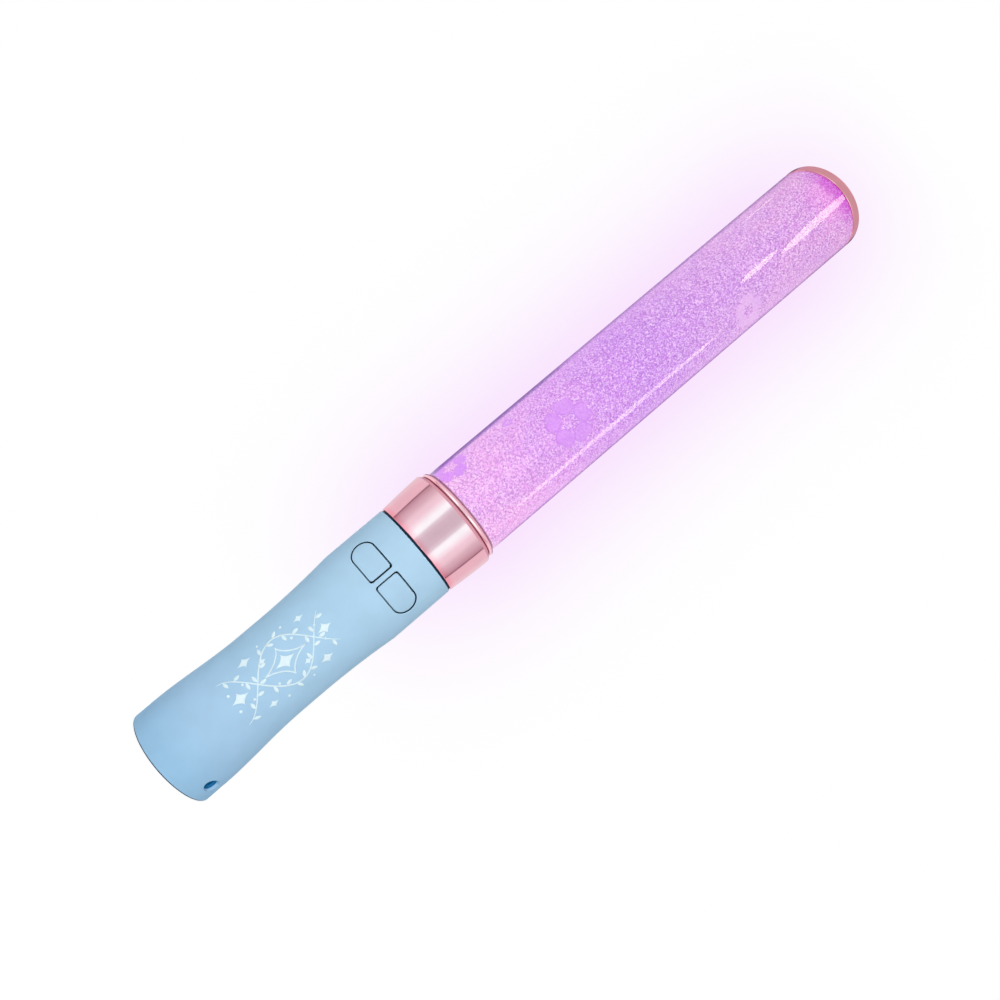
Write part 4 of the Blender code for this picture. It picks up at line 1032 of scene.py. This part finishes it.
def add_stroke(cage, wrap, points, width, taper=0.85):
    """A line wrapped on a surface, thinner at both ends by the taper."""
    rows = []
    for index, (x, y) in enumerate(points):
        before = points[max(index - 1, 0)]
        after = points[min(index + 1, len(points) - 1)]
        along = Vector((after[0] - before[0], after[1] - before[1])).normalized()
        share = index / (len(points) - 1)
        half = width / 2 * (1 - taper + taper * math.sin(math.pi * share) ** 0.5)
        rows.append([cage.verts.new(wrap(x - along.y * half * s, y + along.x * half * s)) for s in (1, -1)])
    for here, there in zip(rows, rows[1:]):
        cage.faces.new((here[0], here[1], there[1], there[0]))


def pointed(value, power):
    """A value raised to a power, with its sign kept."""
    return math.copysign(abs(value) ** power, value)


def sparkle(length, width, power=3.0):
    """Outline of a four-pointed sparkle."""
    return [(width * pointed(x, power), length * pointed(y, power)) for x, y in disc(1.0, ROD_STEPS)]


def leaf(length, width, power=1.6):
    """Outline of a leaf with pointed ends."""
    return [(length / 2 * x, width / 2 * pointed(y, power)) for x, y in disc(1.0)]


def petal(radius, size=0.42, taper=0.06, breadth=1.12, notch_depth=0.13, notch_width=0.28, steps=40):
    """Outline of a petal of a blossom of a radius, with a notch in its tip, which points along X."""
    points = []
    for step in range(steps):
        angle = TURN * step / steps - math.pi
        notch = notch_depth * math.exp(-(angle / notch_width) ** 2)
        reach = radius * (size - notch - taper * (1 - math.cos(angle)))
        points.append((reach * math.cos(angle), breadth * reach * math.sin(angle)))
    return points


def turned_outline(outline, angle):
    """An outline turned round its centre."""
    along, across = math.cos(angle), math.sin(angle)
    return [(x * along - y * across, x * across + y * along) for x, y in outline]


def vine_place(phase, share):
    """A place along a vine, which swings from side to side as it rises."""
    across = VINE_SWING * math.cos(TURN * (VINE_WAVES * share + phase))
    return across, VINE_LOW + (VINE_HIGH - VINE_LOW) * share


def add_vine(cage, phase, steps=90, step_ahead=0.01):
    """A swinging line with leaves on both sides of it in turn."""
    add_stroke(cage, on_handle, [vine_place(phase, step / steps) for step in range(steps + 1)], VINE_WIDTH)
    for index in range(LEAF_COUNT):
        share = (index + LEAF_FIRST) / (LEAF_COUNT + LEAF_SPARE)
        here = Vector(vine_place(phase, share))
        ahead = Vector(vine_place(phase, share + step_ahead)) - here
        side = 1 if index % 2 else -1
        way = math.atan2(ahead.y, ahead.x) + side * LEAF_LEAN
        centre = here + LEAF_REACH * LEAF_SIZE[0] * Vector((math.cos(way), math.sin(way)))
        add_patch(cage, on_handle, centre, turned_outline(leaf(*LEAF_SIZE), way), rings=2)


def add_print(name, cage, slot, look, thickness):
    """Make a wrapped design a piece, and give it its thickness inwards."""
    bmesh.ops.recalc_face_normals(cage, faces=cage.faces)
    piece = add_piece(name, cage, slot, look=look)
    layer = piece.modifiers.new("thickness", "SOLIDIFY")
    layer.thickness = thickness
    layer.offset = -1


def make_handle_print():
    """White vines with leaves, sparkles and dots."""
    cage = bmesh.new()
    for across, height, length, width in SPARKLES:
        add_patch(cage, on_handle, (across, height), sparkle(length, width))
    for across, height, radius in DOTS:
        add_patch(cage, on_handle, (across, height), disc(radius), rings=2)
    for phase in VINE_PHASES:
        add_vine(cage, phase)
    across, height, length, width = OPEN_SPARKLE
    outline = [(across + x, height + y) for x, y in sparkle(length, width)]
    add_stroke(cage, on_handle, outline + outline[:1], OUTLINE_WIDTH, taper=0.0)
    add_print("handle_print", cage, "white_plastic", WHITE_INK, INK_THICKNESS)


def make_film_print():
    """Smooth blossoms in the film's own colour."""
    cage = bmesh.new()
    for index, (across, height, radius) in enumerate(BLOSSOMS):
        reach = PETAL_PLACE * radius
        for count in range(PETAL_COUNT):
            way = BLOSSOM_TURN + BLOSSOM_TURN_STEP * index + TURN * count / PETAL_COUNT
            centre = (across + reach * math.cos(way), height + reach * math.sin(way))
            add_patch(cage, on_film, centre, turned_outline(petal(radius), way), rings=4)
    add_print("film_blossoms", cage, "glowing_film", PLAIN_FILM, BLOSSOM_THICKNESS)


# Stage, lights and camera, in metres

WHITE = (1, 1, 1)
FLOOR_PLACE = -0.02 * MM
FLOOR_REACH = 3.0
FLOOR_GREYS = (0.34, 0.36)
FLOOR_GLOW = 0.8
BACKDROP_PLACE = 0.0159
BACKDROP_REACH = 2
# Painted halo of the stick's glow: its colour, spread and fade, and the heights it runs between
HALO = (0.937, 0.733, 0.987)
HALO_SPREAD = 0.0241
HALO_FADE = 1.7 * HALO_SPREAD
HALO_LOW = 0.0746
HALO_HIGH = 0.2768


def flat_sheet(name, corners, look):
    """A flat part of the stage, which no surface reflects."""
    mesh = bpy.data.meshes.new(name)
    mesh.from_pydata(corners, [], [(0, 1, 2, 3)])
    mesh.materials.append(look.material)
    sheet = placed(name, mesh)
    sheet.visible_diffuse = False
    sheet.visible_glossy = False
    return sheet


def clear_from_behind(look, shader):
    """Let a sheet be looked through from its back."""
    behind = look.add("NewGeometry").outputs["Backfacing"]
    shown = look.blend(behind, shader, look.add("BsdfTransparent"))
    look.plug(look.tree.nodes["Material Output"], {"Surface": shown.outputs[0]})


def make_floor():
    """White floor that still takes the stick's shadow. It is clear from below."""
    look = Look("floor_white")
    shade = [(place, (grey, grey, grey)) for place, grey in zip(WAVER, FLOOR_GREYS)]
    seen = look.add("LightPath").outputs["Is Camera Ray"]
    look.dress({
        "Base Color": look.ramp(look.noise(look.place, scale=3.0, detail=2.0), shade),
        "Roughness": 0.9,
        "Specular IOR Level": 0.0,
        "Emission Color": WHITE,
        "Emission Strength": look.scaled(seen, 0.0, 1.0, 0.0, FLOOR_GLOW),
    })
    clear_from_behind(look, look.shader)
    corners = level_corners(-FLOOR_REACH, FLOOR_REACH, -FLOOR_REACH, FLOOR_REACH, FLOOR_PLACE)
    flat_sheet("floor", corners, look)


def make_backdrop():
    """White sheet close behind the stick with a painted soft violet halo of its glow. It is clear from
    behind.
    """
    look = Look("backdrop_white")
    parts = look.split(look.place)
    square = look.times(parts["X"], parts["X"])
    halo = look.calc("EXPONENT", look.times(square, -0.5 / HALO_SPREAD ** 2))
    halo = look.times(halo, look.scaled(parts["Z"], HALO_LOW - HALO_FADE, HALO_LOW + HALO_FADE))
    halo = look.times(halo, look.scaled(parts["Z"], HALO_HIGH - HALO_FADE, HALO_HIGH + HALO_FADE, 1.0, 0.0))
    clear_from_behind(look, look.add("Emission", {"Color": look.mix(halo, WHITE, HALO)}))
    look.tree.nodes.remove(look.shader)
    y, reach = BACKDROP_PLACE, BACKDROP_REACH
    corners = [(-reach, y, 0), (reach, y, 0), (reach, y, reach), (-reach, y, reach)]
    flat_sheet("backdrop", corners, look).visible_shadow = False


# Light round the studio, by degrees from the front: at the collar's level, and above it
STUDIO = (
    (0, (0.78, 1.02, 1.03)),
    (12, (0.81, 1.07, 1.07)),
    (20, (0.92, 1.35, 1.32)),
    (25, (1.20, 2.10, 1.90)),
    (33, (1.20, 2.10, 1.90)),
    (42, (1.16, 1.70, 1.62)),
    (50, (1.09, 1.38, 1.36)),
    (60, (1.04, 1.27, 1.26)),
    (70, (0.86, 0.98, 0.98)),
    (80, (0.78, 0.81, 0.84)),
    (92, (0.62, 0.55, 0.60)),
    (94, (0.36, 0.28, 0.33)),
    (96, (0.36, 0.28, 0.33)),
    (98, (1.00, 1.00, 1.02)),
    (140, (0.98, 1.00, 1.02)),
    (160, (0.92, 0.86, 0.90)),
    (180, (0.78, 0.64, 0.72)),
)
UPPER_STUDIO = (
    (0, (1.00, 0.98, 1.00)),
    (80, (0.98, 0.93, 0.96)),
    (110, (0.97, 0.82, 0.92)),
    (138, (0.92, 0.74, 0.90)),
    (150, (0.32, 0.20, 0.40)),
    (180, (0.22, 0.14, 0.34)),
)
STUDIO_PEAK = 2.6
STUDIO_TURN = math.radians(-2)
# By the height of a direction: where the upper studio takes over, its levels, and where the zenith does
UPPER_LIMITS = (0.155, 0.175)
UPPER_LEVELS = ((0.58, 1.0), (0.64, 0.74), (0.78, 0.74), (0.90, 0.95))
ZENITH = (0.95, 0.86, 0.90)
ZENITH_LIMITS = (0.80, 0.92)
AMBIENT = (0.92, 1.04, 1.09)
AMBIENT_STRENGTH = 0.555


def below_peak(colour):
    """A light's colour as a share of the studio's peak."""
    return tuple(channel / STUDIO_PEAK for channel in colour)


def panels(nodes, share, stops):
    """Light of a studio by the way round from the front, as a share of half a turn."""
    return nodes.ramp(share, [(degrees / 180, below_peak(colour)) for degrees, colour in stops])


def make_world():
    """White to the camera; what shines sees a studio that changes with the way round and up."""
    world = bpy.data.worlds.new("studio")
    SCENE.world = world
    world.use_nodes = True
    nodes = Nodes(world.node_tree)
    nodes.tree.nodes.clear()
    way = nodes.moved(nodes.add("TexCoord").outputs["Generated"], Rotation=(0, 0, STUDIO_TURN))
    parts = nodes.split(way)
    height = parts["Z"]
    turn = nodes.calc("ARCTAN2", nodes.calc("ABSOLUTE", parts["X"]), nodes.times(parts["Y"], -1.0))
    share = nodes.calc("DIVIDE", turn, math.pi)
    levels = nodes.ramp(height, [(place, (level, level, level)) for place, level in UPPER_LEVELS])
    upper = nodes.mix(1.0, panels(nodes, share, UPPER_STUDIO), levels, "MULTIPLY")
    studio = nodes.mix(nodes.scaled(height, *UPPER_LIMITS), panels(nodes, share, STUDIO), upper)
    studio = nodes.mix(nodes.scaled(height, *ZENITH_LIMITS), studio, below_peak(ZENITH))
    shiny = nodes.add("Background", {"Color": studio, "Strength": STUDIO_PEAK})
    ambient = nodes.add("Background", {"Color": AMBIENT, "Strength": AMBIENT_STRENGTH})
    white = nodes.add("Background", {"Color": WHITE, "Strength": 1.0})
    ray = nodes.add("LightPath").outputs
    lighting = nodes.blend(ray["Is Glossy Ray"], ambient, shiny)
    seen = nodes.calc("MAXIMUM", ray["Is Camera Ray"], ray["Is Transmission Ray"])
    shown = nodes.blend(seen, lighting, white)
    nodes.add("OutputWorld", {"Surface": shown.outputs[0]})


# Softboxes: place, width and height, power and colour
SOFTBOXES = {
    "front_softbox": ((0.0, -0.7, 0.25), (0.6, 0.5), 3.1, (1.06, 0.985, 0.94)),
    "back_softbox": ((0.0, 0.7, 0.3), (0.9, 0.5), 3.0, WHITE),
}
SOFTBOX_TARGET = (0, 0, 0.08)
# Small lamps that show as streaks on the tube: degrees round from the front, distance out, height,
# width, length, lean in degrees and radiance
STREAKS = {
    "streak_short": (13.8, 0.46, 0.535, 0.10, 0.047, -10.6, 7.0),
    "streak_tip": (20.5, 0.46, 0.613, 0.165, 0.094, -20, 6.5),
    "streak_left": (-106, 0.40, 0.531, 0.03, 0.04, 0, 2.2),
    "streak_right": (80, 0.50, 0.355, 0.10, 0.27, 0, 4.6),
}
STREAK_COLOUR = (0.9, 1.0, 0.55)


def add_lamp(name, place, target, size, power, colour, shape="RECTANGLE", lean=0.0):
    """A lamp of a width and height, turned towards a target and leaning to one side."""
    data = bpy.data.lights.new(name, "AREA")
    data.shape = shape
    data.size, data.size_y = size
    data.energy = power
    data.color = colour
    lamp = placed(name, data)
    way = Vector(target) - Vector(place)
    facing = way.to_track_quat("-Z", "Y").to_matrix().to_4x4()
    lamp.matrix_world = Matrix.Translation(place) @ facing @ Matrix.Rotation(lean, 4, "Z")
    lamp.visible_camera = False
    return lamp


def add_lamps(tube):
    """Soft lamps from the front and the back, and the streaks, which only shine in the tube."""
    receivers = bpy.data.collections.new("streak_receivers")
    receivers.objects.link(tube)
    for name, (place, size, power, colour) in SOFTBOXES.items():
        softbox = add_lamp(name, place, SOFTBOX_TARGET, size, power, colour)
        softbox.visible_glossy = False
    for name, (degrees, distance, height, width, length, lean, radiance) in STREAKS.items():
        turn = math.radians(degrees)
        place = (distance * math.sin(turn), -distance * math.cos(turn), height)
        target = (0, 0, height)
        power = radiance * math.pi * math.pi * width * length / 4
        lean = math.radians(lean)
        streak = add_lamp(name, place, target, (width, length), power, STREAK_COLOUR, "ELLIPSE", lean)
        streak.light_linking.receiver_collection = receivers
        streak.visible_diffuse = False
        streak.visible_transmission = False


def add_camera():
    """Camera rolled so that the stick lies across the picture."""
    data = bpy.data.cameras.new("camera")
    data.sensor_width = SENSOR_WIDTH
    data.lens = FOCAL_PIXELS / IMAGE_PIXELS * SENSOR_WIDTH
    data.shift_x = 0.5 - PRINCIPAL_POINT[0] / IMAGE_PIXELS
    data.shift_y = PRINCIPAL_POINT[1] / IMAGE_PIXELS - 0.5
    data.clip_start = CAMERA_CLIP
    place = Matrix.Translation((0, -CAMERA_DISTANCE, CAMERA_HEIGHT))
    pitched = Matrix.Rotation(QUARTER + CAMERA_PITCH, 4, "X")
    SCENE.camera = placed("camera", data)
    SCENE.camera.matrix_world = place @ pitched @ Matrix.Rotation(CAMERA_ROLL, 4, "Z")


SCENE.view_settings.view_transform = "Standard"
dress_nodes()
make_handle()
for side_name, side_sign in SIDES.items():
    make_button(side_name, side_sign)
make_battery_cap()
make_collar()
make_trim_ring()
light_tube = make_tube()
make_film()
make_end_cap()
make_handle_print()
make_film_print()
make_floor()
make_backdrop()
make_world()
add_lamps(light_tube)
add_camera()
